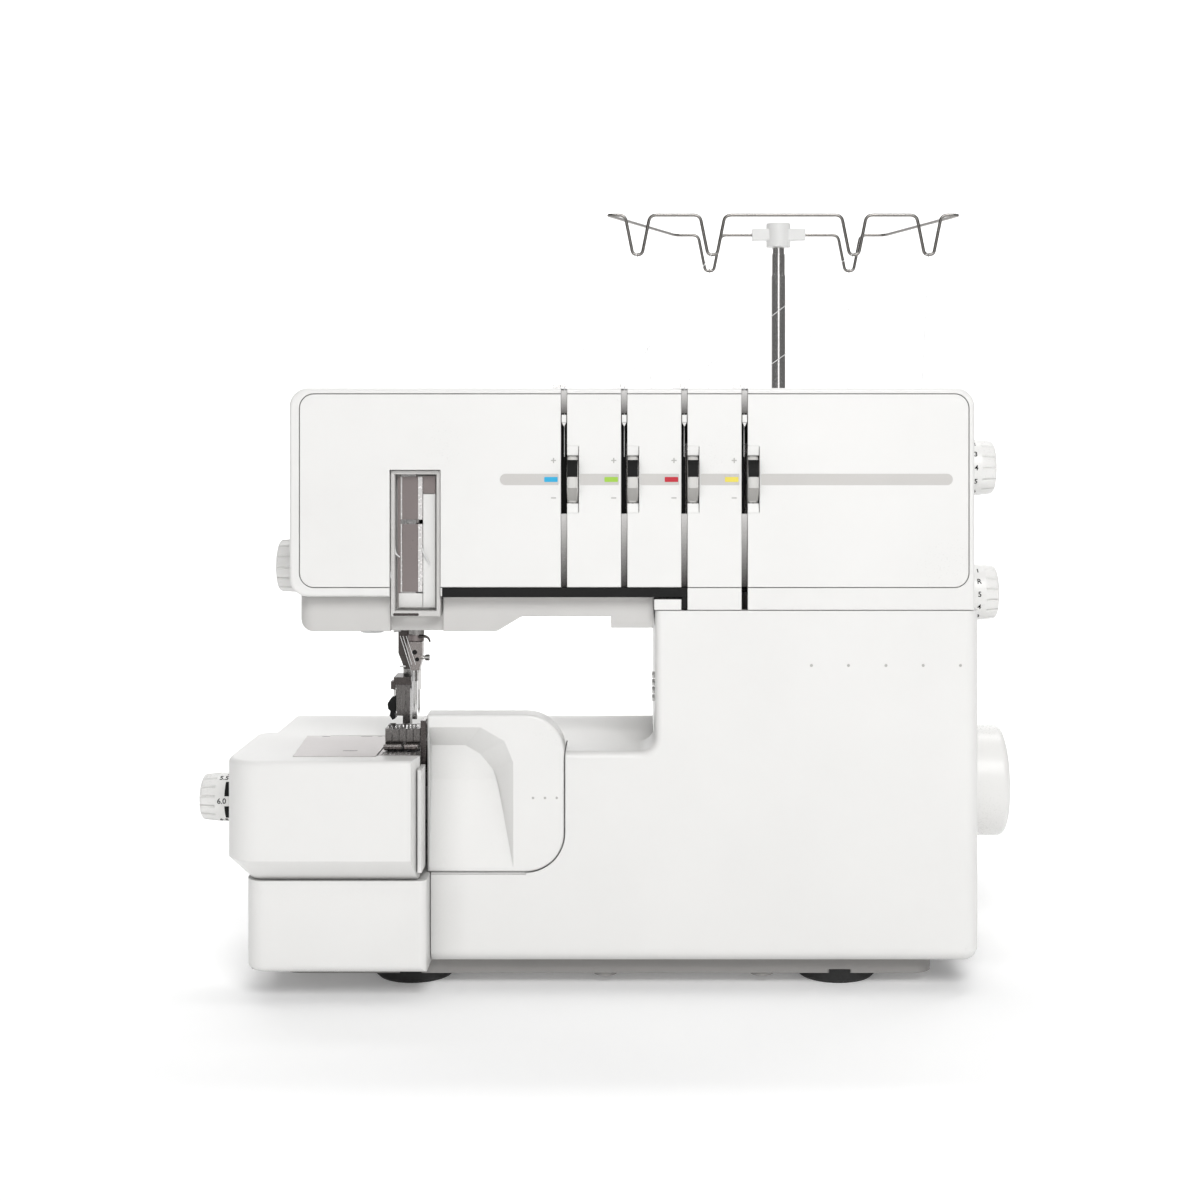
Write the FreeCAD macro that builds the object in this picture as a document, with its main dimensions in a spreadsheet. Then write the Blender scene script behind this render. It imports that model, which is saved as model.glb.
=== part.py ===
"""Household four-thread overlock machine, built as separate named pieces.

Row frame: X to the operator's right, Y to the rear, Z up, millimetres, floor at Z = 0.
Every size lives in the sheet "Sizes"; the pieces take their place from it.
"""
import FreeCAD, Part
import math
import os
import Sketcher

SHEET = [
    # overall
    ("machine_width", 291.4, "bed's left side to the casing's right side"),
    ("front_reach", 122.5, "origin to the casing's front face"),
    ("casing_depth", 192.5, "front face to the rear casing's back"),
    ("head_top_height", 241.6, "floor to the top of the head"),
    ("head_joint_height", 152.5, "floor to the lower casing's top"),
    ("arm_height", 158.0, "floor to the arm frame's lower edge"),
    ("bed_height", 96.0, "floor to the bed surface"),
    ("casing_base_height", 11.4, "floor to the casing's lower edge"),
    ("pillar_width", 130.0, "throat side to the casing's right side"),
    ("arm_reach", 146.4, "pillar to the head's left side"),
    ("head_inset", 2.0, "head narrower than the casing on the right"),
    ("head_depth", 110.5, "front face to the back of the head"),
    ("front_cover_depth", 56.5, "front face to the seam between the head covers"),
    ("lower_front_depth", 62.5, "front face to the seam between the lower casings"),
    ("bed_front_depth", 27.0, "front face to the groove across the bed"),
    ("rear_bed_depth", 98.5, "front face to the rear edge of the bed"),
    ("shell_wall", 2.6, "thickness of the moulded covers"),
    ("shell_gap", 0.3, "gap between two covers"),
    ("casing_round", 6.0, "rounding of the lower casing's outer edges"),
    ("head_round", 7.5, "rounding of the head's outer edges"),
    ("rim_round", 1.4, "rounding of the head's front rim"),
    # base and feet
    ("plate_inset", 10.0, "base plate set in from the covers"),
    ("plate_underside", 4.5, "floor to the base plate's underside"),
    ("foot_diameter", 33.5, "rubber foot"),
    ("foot_height", 6.0, "rubber foot"),
    ("foot_spacing", 174.0, "left to right foot"),
    ("foot_setback", 26.5, "front face to the front feet"),
    ("foot_depth_spacing", 136.0, "front to rear foot under the pillar"),
    ("foot_left_spacing", 48.0, "front to rear foot under the bed"),
    ("boss_diameter", 9.4, "screw bosses under the base plate"),
    # front panel
    ("panel_inset", 2.2, "panel edge in from the head's outline"),
    ("panel_thickness", 1.6, "front panel"),
    ("head_wall", 3.4, "front wall of the head cover with the panel"),
    ("panel_round", 6.0, "corner radius of the panel"),
    # thread slots and tension dials
    ("slot_pitch", 24.1, "distance between thread slots"),
    ("slot_width", 2.5, "thread slot"),
    ("first_slot_offset", 36.4, "pillar's throat side to the first slot, to the left"),
    ("dial_radius", 14.0, "tension dial"),
    ("dial_width", 4.4, "tension dial"),
    ("dial_offset", 3.4, "slot centre to the dial's middle"),
    ("dial_height", 205.0, "floor to the dial's axis"),
    ("dial_proud", 4.7, "dial standing out of the panel"),
    ("dial_clearance", 0.35, "between dial and panel"),
    ("dial_window", 13.2, "half the height of a dial's opening in the head's face"),
    ("post_radius", 2.5, "tension post"),
    ("running_fit", 0.08, "radial clearance of turning parts"),
    ("thread_gate_width", 98.5, "horizontal thread slot"),
    ("thread_gate_height", 3.6, "horizontal thread slot"),
    # take-up window
    ("window_left", 40.2, "head's left side to the take-up window"),
    ("window_width", 20.4, "take-up window"),
    ("window_height", 50.8, "take-up window above the arm's edge"),
    ("window_drop", 8.0, "window insert below the arm's edge"),
    # arm underside
    ("arm_cover_drop", 14.4, "arm cover below the arm's edge"),
    ("arm_cover_setback", 6.0, "arm cover behind the front face"),
    ("lamp_radius", 7.5, "lamp lens"),
    # bed
    ("needle_reach", 97.6, "pillar to the needle line"),
    ("needle_depth", 17.5, "front face to the needles"),
    ("needle_plate_width", 22.0, "needle plate"),
    ("plate_depth", 45.0, "needle plate and cloth plate insert"),
    ("plate_thickness", 2.0, "needle plate"),
    ("insert_width", 26.1, "cloth plate's metal insert"),
    ("cloth_reach", 20.0, "cloth plate in front of the casing"),
    ("cloth_overhang", 7.2, "cloth plate beyond the bed's left side"),
    ("cloth_bottom", 48.0, "floor to the cloth plate's underside"),
    ("cloth_corner", 14.0, "cloth plate's front left corner"),
    ("block_reach", 13.0, "base block in front of the casing"),
    ("looper_cover_width", 55.0, "looper cover"),
    ("looper_cover_left", 91.2, "pillar to the looper cover's left side"),
    ("looper_cover_bottom", 47.9, "floor to the looper cover's lower edge"),
    ("looper_cover_top", 110.8, "floor to the looper cover's upper edge"),
    ("looper_cover_depth", 12.0, "thickness of the looper cover"),
    # drive
    ("shaft_radius", 6.0, "main shaft"),
    ("shaft_height", 67.3, "floor to the main shaft"),
    ("shaft_setback", 88.5, "front face to the main shaft"),
    ("handwheel_radius", 24.4, "handwheel"),
    ("handwheel_reach", 26.3, "casing side to the handwheel's face"),
    ("pulley_radius", 28.0, "pulley on the main shaft"),
    ("motor_pulley_radius", 9.0, "pulley on the motor"),
    ("motor_radius", 24.0, "motor"),
    ("motor_setback", 157.5, "front face to the motor's axis"),
    ("motor_height", 45.0, "floor to the motor's axis"),
    ("belt_thickness", 1.6, "drive belt"),
    # knobs
    ("knob_setback", 47.5, "front face to the side knobs"),
    ("feed_knob_height", 208.8, "differential feed knob"),
    ("length_knob_height", 155.6, "stitch length knob"),
    ("pressure_knob_height", 167.0, "foot pressure knob"),
    ("knob_radius", 12.4, "side knobs"),
    ("knob_stem_radius", 4.0, "stems of the side knobs"),
    ("width_knob_radius", 10.65, "cutting width knob"),
    ("width_knob_height", 73.0, "cutting width knob"),
    ("width_knob_setback", 25.0, "front face to the cutting width knob"),
    # needle and presser
    ("needle_pitch", 2.0, "between the two needles"),
    ("needle_radius", 0.45, "needle"),
    ("needle_bar_radius", 3.2, "needle bar"),
    ("presser_bar_radius", 3.0, "presser bar"),
    ("presser_bar_offset", 4.4, "needle line to the presser bar, to the left"),
    ("presser_bar_depth", 32.0, "front face to the presser bar"),
    # thread stand
    ("tray_width", 180.0, "spool tray"),
    ("tray_depth", 154.0, "spool tray"),
    ("tray_height", 137.0, "floor to the tray's underside"),
    ("tray_thickness", 4.0, "spool tray"),
    ("tray_overhang", 26.3, "tray beyond the casing's right side"),
    ("tray_gap", 0.5, "head's back to the tray"),
    ("mast_left", 89.0, "tray's right side to the mast"),
    ("mast_setback", 116.0, "tray's front edge to the mast"),
    ("mast_lower_radius", 3.85, "lower mast tube"),
    ("mast_middle_radius", 3.55, "middle mast tube"),
    ("mast_top_radius", 3.2, "top mast rod"),
    ("mast_lower_length", 165.6, "lower mast tube above the tray"),
    ("mast_step", 11.2, "each mast section above the one below"),
    ("mast_fit", 0.05, "radial clearance of the mast sections"),
    ("guide_height", 328.0, "floor to the thread guide wire"),
    ("guide_wire_radius", 0.8, "thread guide wire"),
    ("notch_depth", 19.0, "notches bent into the guide wire"),
    ("notch_half_width", 6.0, "notch at the top"),
    ("notch_foot", 2.2, "half of the notch's flat bottom"),
    ("thread_radius", 0.25, "sewing thread"),
    ("pin_spread_outer", 128.0, "between the two outer spool pins"),
    ("pin_spread_inner", 74.0, "between the two inner spool pins"),
    ("pin_radius", 2.5, "spool pin"),
    ("pin_height", 76.0, "spool pin above the tray"),
    ("cone_radius", 22.0, "thread cone's foot"),
    ("cone_top_radius", 12.0, "thread cone's top"),
    ("cone_height", 78.0, "thread cone"),
]


class Size:
    """A number that also carries the sheet formula it comes from."""

    def __init__(self, value, formula):
        self.value = float(value)
        self.formula = formula

    def __add__(self, other):
        other = as_size(other)
        return Size(self.value + other.value, "(%s + %s)" % (self.formula, other.formula))

    def __radd__(self, other):
        return as_size(other) + self

    def __sub__(self, other):
        other = as_size(other)
        return Size(self.value - other.value, "(%s - %s)" % (self.formula, other.formula))

    def __rsub__(self, other):
        return as_size(other) - self

    def __mul__(self, other):
        other = as_size(other)
        return Size(self.value * other.value, "(%s * %s)" % (self.formula, other.formula))

    def __rmul__(self, other):
        return as_size(other) * self

    def __truediv__(self, other):
        other = as_size(other)
        return Size(self.value / other.value, "(%s / %s)" % (self.formula, other.formula))

    def __neg__(self):
        return Size(-self.value, "(0 - %s)" % self.formula)


def as_size(amount):
    if isinstance(amount, Size):
        return amount
    return Size(amount, "%.6f" % amount)


class Sizes:
    """The sheet's values, each as an attribute."""


def fill_sheet(document):
    sheet = document.addObject("Spreadsheet::Sheet", "Sizes")
    values = Sizes()
    for row, (name, value, note) in enumerate(SHEET, start=1):
        sheet.set("A%d" % row, name)
        sheet.set("B%d" % row, str(value))
        sheet.set("C%d" % row, note)
        sheet.setAlias("B%d" % row, name)
        setattr(values, name, Size(value, "Sizes." + name))
    document.recompute()
    return values


doc = FreeCAD.newDocument("overlock")
s = fill_sheet(doc)
nodes = []

# ------------------------------------------------------------------ reference places
right = s.machine_width / 2
left = -right
front = -s.front_reach
pillar = right - s.pillar_width
head_left = pillar - s.arm_reach
head_right = right - s.head_inset
head_back = front + s.head_depth
head_seam = front + s.front_cover_depth
lower_seam = front + s.lower_front_depth
bed_groove = front + s.bed_front_depth
bed_back = front + s.rear_bed_depth
casing_back = front + s.casing_depth
base = s.casing_base_height
needle_x = pillar - s.needle_reach
needle_y = front + s.needle_depth
needle_plate_left = needle_x - s.needle_plate_width / 2 - 1.1
needle_plate_right = needle_plate_left + s.needle_plate_width
plates_front = front - 7.5
plates_back = plates_front + s.plate_depth
cloth_front = front - s.cloth_reach
cloth_left = left - s.cloth_overhang
cloth_back = plates_back + 9.7
cloth_right = needle_plate_left - s.shell_gap
looper_left = pillar - s.looper_cover_left
looper_right = looper_left + s.looper_cover_width
shaft_y = front + s.shaft_setback
motor_y = front + s.motor_setback
knob_y = front + s.knob_setback
window_left = head_left + s.window_left
window_right = window_left + s.window_width
window_top = s.arm_height + s.window_height
tray_right = right + s.tray_overhang
tray_left = tray_right - s.tray_width
tray_front = head_back + s.tray_gap
tray_back = tray_front + s.tray_depth
tray_top = s.tray_height + s.tray_thickness
mast_x = tray_right - s.mast_left
mast_y = tray_front + s.mast_setback
wire_front_y = tray_front + 29.5
presser_x = needle_x - s.presser_bar_offset
presser_y = front + s.presser_bar_depth
slots = [pillar - s.first_slot_offset + s.slot_pitch * step for step in range(4)]
dial_y = front - s.dial_proud + s.dial_radius


# ------------------------------------------------------------------ primitives
def bind(item, name, amount):
    """Ties one property of an object to a size."""
    amount = as_size(amount)
    item.setExpression(name, amount.formula)


def bind_place(item, x, y, z):
    bind(item, "Placement.Base.x", x)
    bind(item, "Placement.Base.y", y)
    bind(item, "Placement.Base.z", z)


def block(x0, x1, y0, y1, z0, z1):
    item = doc.addObject("Part::Box", "Block")
    bind(item, "Length", x1 - x0)
    bind(item, "Width", y1 - y0)
    bind(item, "Height", z1 - z0)
    bind_place(item, x0, y0, z0)
    return item


AXIS_TURN = {
    "X": FreeCAD.Rotation(FreeCAD.Vector(0, 1, 0), 90),
    "Y": FreeCAD.Rotation(FreeCAD.Vector(1, 0, 0), -90),
    "Z": FreeCAD.Rotation(),
}


def rod(axis, x, y, z, radius, length):
    """A cylinder that starts at x, y, z and runs along the axis."""
    item = doc.addObject("Part::Cylinder", "Rod")
    bind(item, "Radius", radius)
    bind(item, "Height", length)
    item.Placement = FreeCAD.Placement(FreeCAD.Vector(), AXIS_TURN[axis])
    bind_place(item, x, y, z)
    return item


def taper(axis, x, y, z, radius_start, radius_end, length):
    item = doc.addObject("Part::Cone", "Taper")
    bind(item, "Radius1", radius_start)
    bind(item, "Radius2", radius_end)
    bind(item, "Height", length)
    item.Placement = FreeCAD.Placement(FreeCAD.Vector(), AXIS_TURN[axis])
    bind_place(item, x, y, z)
    return item


def joined(*items):
    if len(items) == 1:
        return items[0]
    item = doc.addObject("Part::MultiFuse", "Joined")
    item.Shapes = list(items)
    item.Refine = True
    return item


def less(item, *tools):
    result = doc.addObject("Part::Cut", "Less")
    result.Base = item
    result.Tool = joined(*tools)
    result.Refine = True
    return result


def together(*items):
    item = doc.addObject("Part::Compound", "Together")
    item.Links = list(items)
    return item


def keep(label, item):
    """Names an object as one of the machine's pieces."""
    item.Label = label
    nodes.append(item)
    return item


def prism(axis, start, end, points):
    """A straight prism between two places on the axis, over a closed outline."""
    body = new_body("Prism")
    pad(body, axis, start, end, points)
    return body


# ------------------------------------------------------------------ sketched bodies
PLANES = {"X": "YZ_Plane", "Y": "XZ_Plane", "Z": "XY_Plane"}


def new_body(name):
    body = doc.addObject("PartDesign::Body", name)
    body.AllowCompound = True
    return body


def sketch(body, axis, place, loops):
    """A sketch across the axis; each loop is a list of corners or a circle (x, y, radius)."""
    item = body.newObject("Sketcher::SketchObject", "Outline")
    plane = [part for part in body.Origin.OriginFeatures if part.Role == PLANES[axis]][0]
    item.AttachmentSupport = [(plane, "")]
    item.MapMode = "FlatFace"
    offset = -as_size(place) if axis == "Y" else as_size(place)
    bind(item, "AttachmentOffset.Base.z", offset)
    for loop in loops:
        if isinstance(loop, list):
            add_outline(item, loop)
        elif len(loop) == 3:
            add_circle(item, *loop)
        else:
            add_rounded(item, *loop)
    return item


def add_circle(item, x, y, radius):
    x, y, radius = as_size(x), as_size(y), as_size(radius)
    centre = FreeCAD.Vector(x.value, y.value, 0)
    index = item.addGeometry(Part.Circle(centre, FreeCAD.Vector(0, 0, 1), radius.value), False)
    limit = item.addConstraint(Sketcher.Constraint("Radius", index, radius.value))
    item.setExpression("Constraints[%d]" % limit, radius.formula)
    fix_point(item, index, 3, x, y)


def add_outline(item, corners):
    corners = [(as_size(x), as_size(y)) for x, y in corners]
    first = item.GeometryCount
    count = len(corners)
    for index, (x, y) in enumerate(corners):
        end_x, end_y = corners[(index + 1) % count]
        start = FreeCAD.Vector(x.value, y.value, 0)
        end = FreeCAD.Vector(end_x.value, end_y.value, 0)
        item.addGeometry(Part.LineSegment(start, end), False)
    for index in range(count):
        following = first + (index + 1) % count
        item.addConstraint(Sketcher.Constraint("Coincident", first + index, 2, following, 1))
    for index, (x, y) in enumerate(corners):
        fix_point(item, first + index, 1, x, y)


def add_rounded(item, x0, x1, y0, y1, radius):
    """A rectangle with round corners."""
    x0, x1, y0, y1, radius = [as_size(amount) for amount in (x0, x1, y0, y1, radius)]
    runs = [((x0 + radius, y0), (x1 - radius, y0)), ((x1, y0 + radius), (x1, y1 - radius)),
            ((x1 - radius, y1), (x0 + radius, y1)), ((x0, y1 - radius), (x0, y0 + radius))]
    centres = [(x1 - radius, y0 + radius), (x1 - radius, y1 - radius), (x0 + radius, y1 - radius),
               (x0 + radius, y0 + radius)]
    lines = []
    for run in runs:
        ends = [FreeCAD.Vector(x.value, y.value, 0) for x, y in run]
        index = item.addGeometry(Part.LineSegment(*ends), False)
        fix_point(item, index, 1, *run[0])
        fix_point(item, index, 2, *run[1])
        lines.append(index)
    for corner, (x, y) in enumerate(centres):
        circle = Part.Circle(FreeCAD.Vector(x.value, y.value, 0), FreeCAD.Vector(0, 0, 1), radius.value)
        turn = math.pi / 2
        arc = Part.ArcOfCircle(circle, turn * (corner - 1), turn * corner)
        index = item.addGeometry(arc, False)
        item.addConstraint(Sketcher.Constraint("Coincident", lines[corner], 2, index, 1))
        item.addConstraint(Sketcher.Constraint("Coincident", index, 2, lines[(corner + 1) % 4], 1))
        limit = item.addConstraint(Sketcher.Constraint("Radius", index, radius.value))
        item.setExpression("Constraints[%d]" % limit, radius.formula)


def fix_point(item, index, point, x, y):
    limit = item.addConstraint(Sketcher.Constraint("DistanceX", -1, 1, index, point, x.value))
    item.setExpression("Constraints[%d]" % limit, x.formula)
    limit = item.addConstraint(Sketcher.Constraint("DistanceY", -1, 1, index, point, y.value))
    item.setExpression("Constraints[%d]" % limit, y.formula)


def rectangle(x0, x1, y0, y1):
    return [(x0, y0), (x1, y0), (x1, y1), (x0, y1)]


def pad(body, axis, start, end, *loops):
    outline = sketch(body, axis, start, loops)
    item = body.newObject("PartDesign::Pad", "Pad")
    item.Profile = outline
    bind(item, "Length", end - as_size(start))
    item.Reversed = axis == "Y"
    doc.recompute()
    return item


def pocket(body, axis, start, end, *loops):
    before = body.Shape.Volume
    outline = sketch(body, axis, start, loops)
    item = body.newObject("PartDesign::Pocket", "Pocket")
    item.Profile = outline
    bind(item, "Length", end - as_size(start))
    item.Reversed = axis != "Y"
    doc.recompute()
    if not item.isValid() or body.Shape.Volume >= before - 0.01:
        raise RuntimeError("a pocket in %s cuts nothing: %s" % (body.Label, item.getStatusString()))
    return item


def near(low, high, wanted):
    """Whether the span low..high lies at the wanted place or inside the wanted span."""
    if wanted is None:
        return True
    if isinstance(wanted, tuple):
        first, last = as_size(wanted[0]).value, as_size(wanted[1]).value
    else:
        first = last = as_size(wanted).value
    return low >= first - 0.05 and high <= last + 0.05


def pick_edges(shape, along=None, x=None, y=None, z=None):
    names = []
    for number, edge in enumerate(shape.Edges, start=1):
        box = edge.BoundBox
        spans = {"X": box.XLength, "Y": box.YLength, "Z": box.ZLength}
        if along and not all(spans[a] < 0.02 for a in spans if a != along):
            continue
        if near(box.XMin, box.XMax, x) and near(box.YMin, box.YMax, y) and near(box.ZMin, box.ZMax, z):
            names.append("Edge%d" % number)
    return names


def soften(body, kind, amount, *picks):
    """Rounds or bevels the edges that the picks describe; kind is Fillet or Chamfer."""
    feature = body.Tip
    names = []
    for wanted in picks:
        found = pick_edges(feature.Shape, **wanted)
        if not found:
            raise RuntimeError("no edge to soften in %s" % body.Label)
        names += found
    item = body.newObject("PartDesign::" + kind, kind)
    item.Base = (feature, sorted(set(names)))
    bind(item, "Radius" if kind == "Fillet" else "Size", amount)
    doc.recompute()
    if not item.isValid():
        raise RuntimeError("%s of %s fails" % (kind, body.Label))
    return item


def turned(label, axis, place, profile, rounded=()):
    """A body of revolution: profile is (radius, distance along the axis) corners."""
    body = new_body(label)
    outline = sketch(body, "Y", 0, [[(radius, along) for radius, along in profile]])
    item = body.newObject("PartDesign::Revolution", "Turn")
    item.Profile = outline
    item.ReferenceAxis = (outline, ["V_Axis"])
    item.Angle = 360
    body.Placement = FreeCAD.Placement(FreeCAD.Vector(), AXIS_TURN[axis])
    doc.recompute()
    for radius, distance, amount in rounded:
        ring = as_size(radius).value
        names = []
        for number, edge in enumerate(body.Tip.Shape.Edges, start=1):
            box = edge.BoundBox
            level = as_size(distance).value
            if near(box.ZMin, box.ZMax, level) and abs(box.XMax - ring) < 0.05:
                names.append("Edge%d" % number)
        feature = body.Tip
        item = body.newObject("PartDesign::Fillet", "Round")
        item.Base = (feature, names)
        bind(item, "Radius", amount)
        doc.recompute()
        if not item.isValid():
            raise RuntimeError("rounding of %s fails" % label)
    x, y, z = place
    bind_place(body, x, y, z)
    doc.recompute()
    return body


# ------------------------------------------------------------------ base and covers
def make_base():
    inset = s.plate_inset
    foot_x = [-s.foot_spacing / 2 + 3.7, s.foot_spacing / 2 + 3.7]
    foot_y = front + s.foot_setback
    feet_places = [(foot_x[0], foot_y), (foot_x[1], foot_y), (foot_x[1], foot_y + s.foot_depth_spacing),
                   (foot_x[0], foot_y + s.foot_left_spacing)]
    radius = s.foot_diameter / 2
    plate = new_body("BasePlate")
    side = pillar - inset
    outline = [(left + inset, front + inset), (right - inset - 7.1, front + inset),
               (right - inset - 7.1, casing_back - inset), (side + 2 * inset, casing_back - inset),
               (side + 2 * inset, bed_back - 5), (left + inset, bed_back - 5)]
    pad(plate, "Z", s.plate_underside, base - s.shell_gap, outline)
    soften(plate, "Fillet", 8.0, dict(along="Z"))
    seats = [(x, y, radius + s.shell_gap) for x, y in feet_places]
    pocket(plate, "Z", s.plate_underside, s.foot_height, *seats)
    bosses = [(-4.4, front + inset + 5.5, s.boss_diameter / 2), (59.4, front + inset + 5.5, s.boss_diameter / 2)]
    pad(plate, "Z", s.plate_underside - 1.5, s.plate_underside, *bosses)
    keep("base_plate", plate)
    feet = []
    for x, y in feet_places:
        lower = taper("Z", x, y, 0, radius - 1.5, radius, 1.5)
        upper = rod("Z", x, y, 1.5, radius, s.foot_height - 1.5)
        feet.append(joined(lower, upper))
    keep("rubber_feet", together(*feet))


def make_front_casing():
    wall = s.shell_wall
    casing = new_body("FrontCasing")
    bed_left = looper_left + 1.5
    opening_left = bed_left - 1
    outline = [(bed_left, base), (right, base), (right, s.head_joint_height), (pillar, s.head_joint_height),
               (pillar, s.bed_height), (looper_right + s.shell_gap, s.bed_height),
               (looper_right + s.shell_gap, s.looper_cover_bottom - s.shell_gap),
               (bed_left, s.looper_cover_bottom - s.shell_gap)]
    pad(casing, "Y", front, bed_groove, outline)
    pad(casing, "Y", bed_groove, lower_seam, rectangle(pillar, right, base, s.head_joint_height))
    soften(casing, "Fillet", 16.0, dict(along="Y", x=looper_right + s.shell_gap,
                                        z=s.looper_cover_bottom - s.shell_gap))
    soften(casing, "Fillet", s.casing_round, dict(along="Z", x=right, y=front),
           dict(along="Y", x=right, z=base, y=(front, lower_seam)),
           dict(along="X", y=front, z=base), dict(along="Y", x=pillar, z=s.bed_height))
    soften(casing, "Fillet", 3.0, dict(along="X", y=front, z=s.bed_height),
           dict(along="Z", x=pillar, y=front))
    inner = front + wall + 0.8
    pocket(casing, "Y", inner, lower_seam,
           rectangle(pillar + wall, right - wall, base - 1, s.head_joint_height - wall))
    pocket(casing, "Y", inner, bed_groove,
           rectangle(looper_right + wall + 1, pillar + wall + 1, base - 1, s.bed_height - wall))
    pocket(casing, "Y", inner, bed_groove,
           rectangle(opening_left, looper_right + wall + 2, base - 1, s.looper_cover_bottom - 3.5))
    pocket(casing, "Z", s.head_joint_height - wall - 1, s.head_joint_height + 1,
           rectangle(pillar + 2 * wall, right - 2 * wall, inner + wall, lower_seam + 1))
    pocket(casing, "X", right - 8, right + 1, (knob_y, s.length_knob_height, s.knob_stem_radius + 0.6))
    shelf = s.looper_cover_bottom - s.shell_gap
    pocket(casing, "Z", shelf - 4, shelf + 6, rectangle(opening_left, looper_right - 7, front + 14, bed_groove + 1))
    # round groove about the looper cover's hinge line
    pocket(casing, "X", looper_left - 2, looper_right - 15.5, (front, s.looper_cover_bottom, 1.0))
    for step in range(4):
        z = s.bed_height + 19.5 + 3.1 * step
        pad(casing, "X", pillar - 1.1, pillar + 0.5, rectangle(front + 6, front + 16, z, z + 1.2))
    keep("front_casing", casing)


def make_rear_casing():
    wall = s.shell_wall
    casing = new_body("RearCasing")
    y0 = lower_seam + s.shell_gap
    x0 = pillar + s.shell_gap
    step = head_back + 0.1
    outline = [(y0, base), (casing_back, base), (casing_back, s.tray_height - 0.1), (step, s.tray_height - 0.1),
               (step, s.head_joint_height), (y0, s.head_joint_height)]
    pad(casing, "X", x0, right, outline)
    soften(casing, "Fillet", 9.0, dict(along="Z", y=casing_back))
    soften(casing, "Fillet", s.casing_round, dict(along="Y", x=right, z=base))
    inner_top = s.tray_height - 0.1 - wall
    pocket(casing, "Z", base - 1, inner_top,
           rectangle(x0 + wall, right - wall, y0 - 1, casing_back - wall))
    pocket(casing, "Z", inner_top - 1, s.head_joint_height + 1,
           rectangle(x0 + wall, right - wall, y0 - 1, step - wall))
    pocket(casing, "X", x0 - 1, x0 + wall + 1, rectangle(y0 + 2, bed_back - 1, base - 1, s.bed_height - 6))
    pocket(casing, "X", right - wall - 1, right + 1, (shaft_y, s.shaft_height, s.shaft_radius + 3.3))
    pocket(casing, "X", right - wall - 1, right + 1,
           rectangle(motor_y - 27.3, motor_y - 2.7, 21.7, 58.3), rectangle(motor_y + 2.7, motor_y + 24.3, 25.7, 54.3))
    vents = [rectangle(58 + 9 * step_x, 63 + 9 * step_x, 30, 62) for step_x in range(7)]
    pocket(casing, "Y", casing_back - wall - 1, casing_back + 1, *vents)
    keep("rear_casing", casing)


def head_outline(x_left, x_right, top):
    return [(x_left, s.arm_height), (pillar - 0.3, s.arm_height), (pillar - 0.3, s.head_joint_height + s.shell_gap),
            (x_right, s.head_joint_height + s.shell_gap), (x_right, top), (x_left, top)]


def front_openings():
    """Outlines, seen from the front, of what passes through the head's face."""
    low = s.arm_height + s.thread_gate_height
    loops = [rectangle(window_left, window_right, s.arm_height - 1, window_top)]
    gate_right = window_right + s.thread_gate_width
    loops.append(rectangle(window_right + 0.6, gate_right, s.arm_height - 1, low))
    for number, x in enumerate(slots):
        bottom = low - 0.5 if number < 2 else s.head_joint_height - 1
        half = s.slot_width / 2
        reach = s.dial_offset + s.dial_width / 2 + s.dial_clearance
        high = s.dial_height + s.dial_window
        deep = s.dial_height - s.dial_window
        loops.append([(x - half, bottom), (x + half, bottom), (x + half, deep), (x + reach, deep),
                      (x + reach, high), (x + half, high), (x + half, s.head_top_height + 1),
                      (x - half, s.head_top_height + 1)])
    return loops


def make_head_cover():
    wall = s.shell_wall
    head = new_body("HeadCover")
    pad(head, "Y", front, head_seam, head_outline(head_left, head_right, s.head_top_height))
    soften(head, "Fillet", s.head_round, dict(along="Y", x=head_left, z=s.arm_height),
           dict(along="Y", x=head_left, z=s.head_top_height), dict(along="Y", x=head_right, z=s.head_top_height))
    soften(head, "Fillet", s.rim_round, dict(along="X", y=front, z=s.head_top_height),
           dict(along="Z", x=head_left, y=front), dict(along="Z", x=head_right, y=front))
    inset = s.panel_inset
    pocket(head, "Y", front, front + s.panel_thickness,
           (head_left + inset + 1.8, head_right - inset, s.arm_height + s.thread_gate_height,
            s.head_top_height - inset, s.panel_round))
    pocket(head, "Y", front + s.head_wall, head_seam,
           rectangle(head_left + wall, head_right - wall, s.head_joint_height, s.head_top_height - wall))
    for loop in front_openings():
        pocket(head, "Y", front - 1, front + s.head_wall + 1, loop)
    top_slots = [rectangle(x - s.slot_width / 2, x + s.slot_width / 2, front - 1, front + 9) for x in slots]
    pocket(head, "Z", s.head_top_height - wall - 1, s.head_top_height + 1, *top_slots)
    pocket(head, "X", head_right - wall - 1, head_right + 1, (knob_y, s.feed_knob_height, s.knob_stem_radius + 0.6),
           (knob_y, s.length_knob_height, s.knob_stem_radius + 0.6))
    pocket(head, "X", head_left - 1, head_left + wall + 1, (knob_y, s.pressure_knob_height, s.knob_stem_radius + 0.6))
    keep("head_cover", head)


def make_front_panel():
    gap = s.shell_gap
    inset = s.panel_inset
    low = s.arm_height + s.thread_gate_height
    panel = new_body("FrontPanel")
    pad(panel, "Y", front + 0.1, front + s.panel_thickness,
        (head_left + inset + 1.8 + gap, head_right - inset - gap, low + gap, s.head_top_height - inset - gap,
         s.panel_round - gap))
    for loop in front_openings():
        try_low = [(x, z) for x, z in loop]
        if max(as_size(z).value for x, z in try_low) > low.value + 1:
            pocket(panel, "Y", front - 1, front + s.head_wall, loop)
    keep("front_panel", panel)


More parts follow.
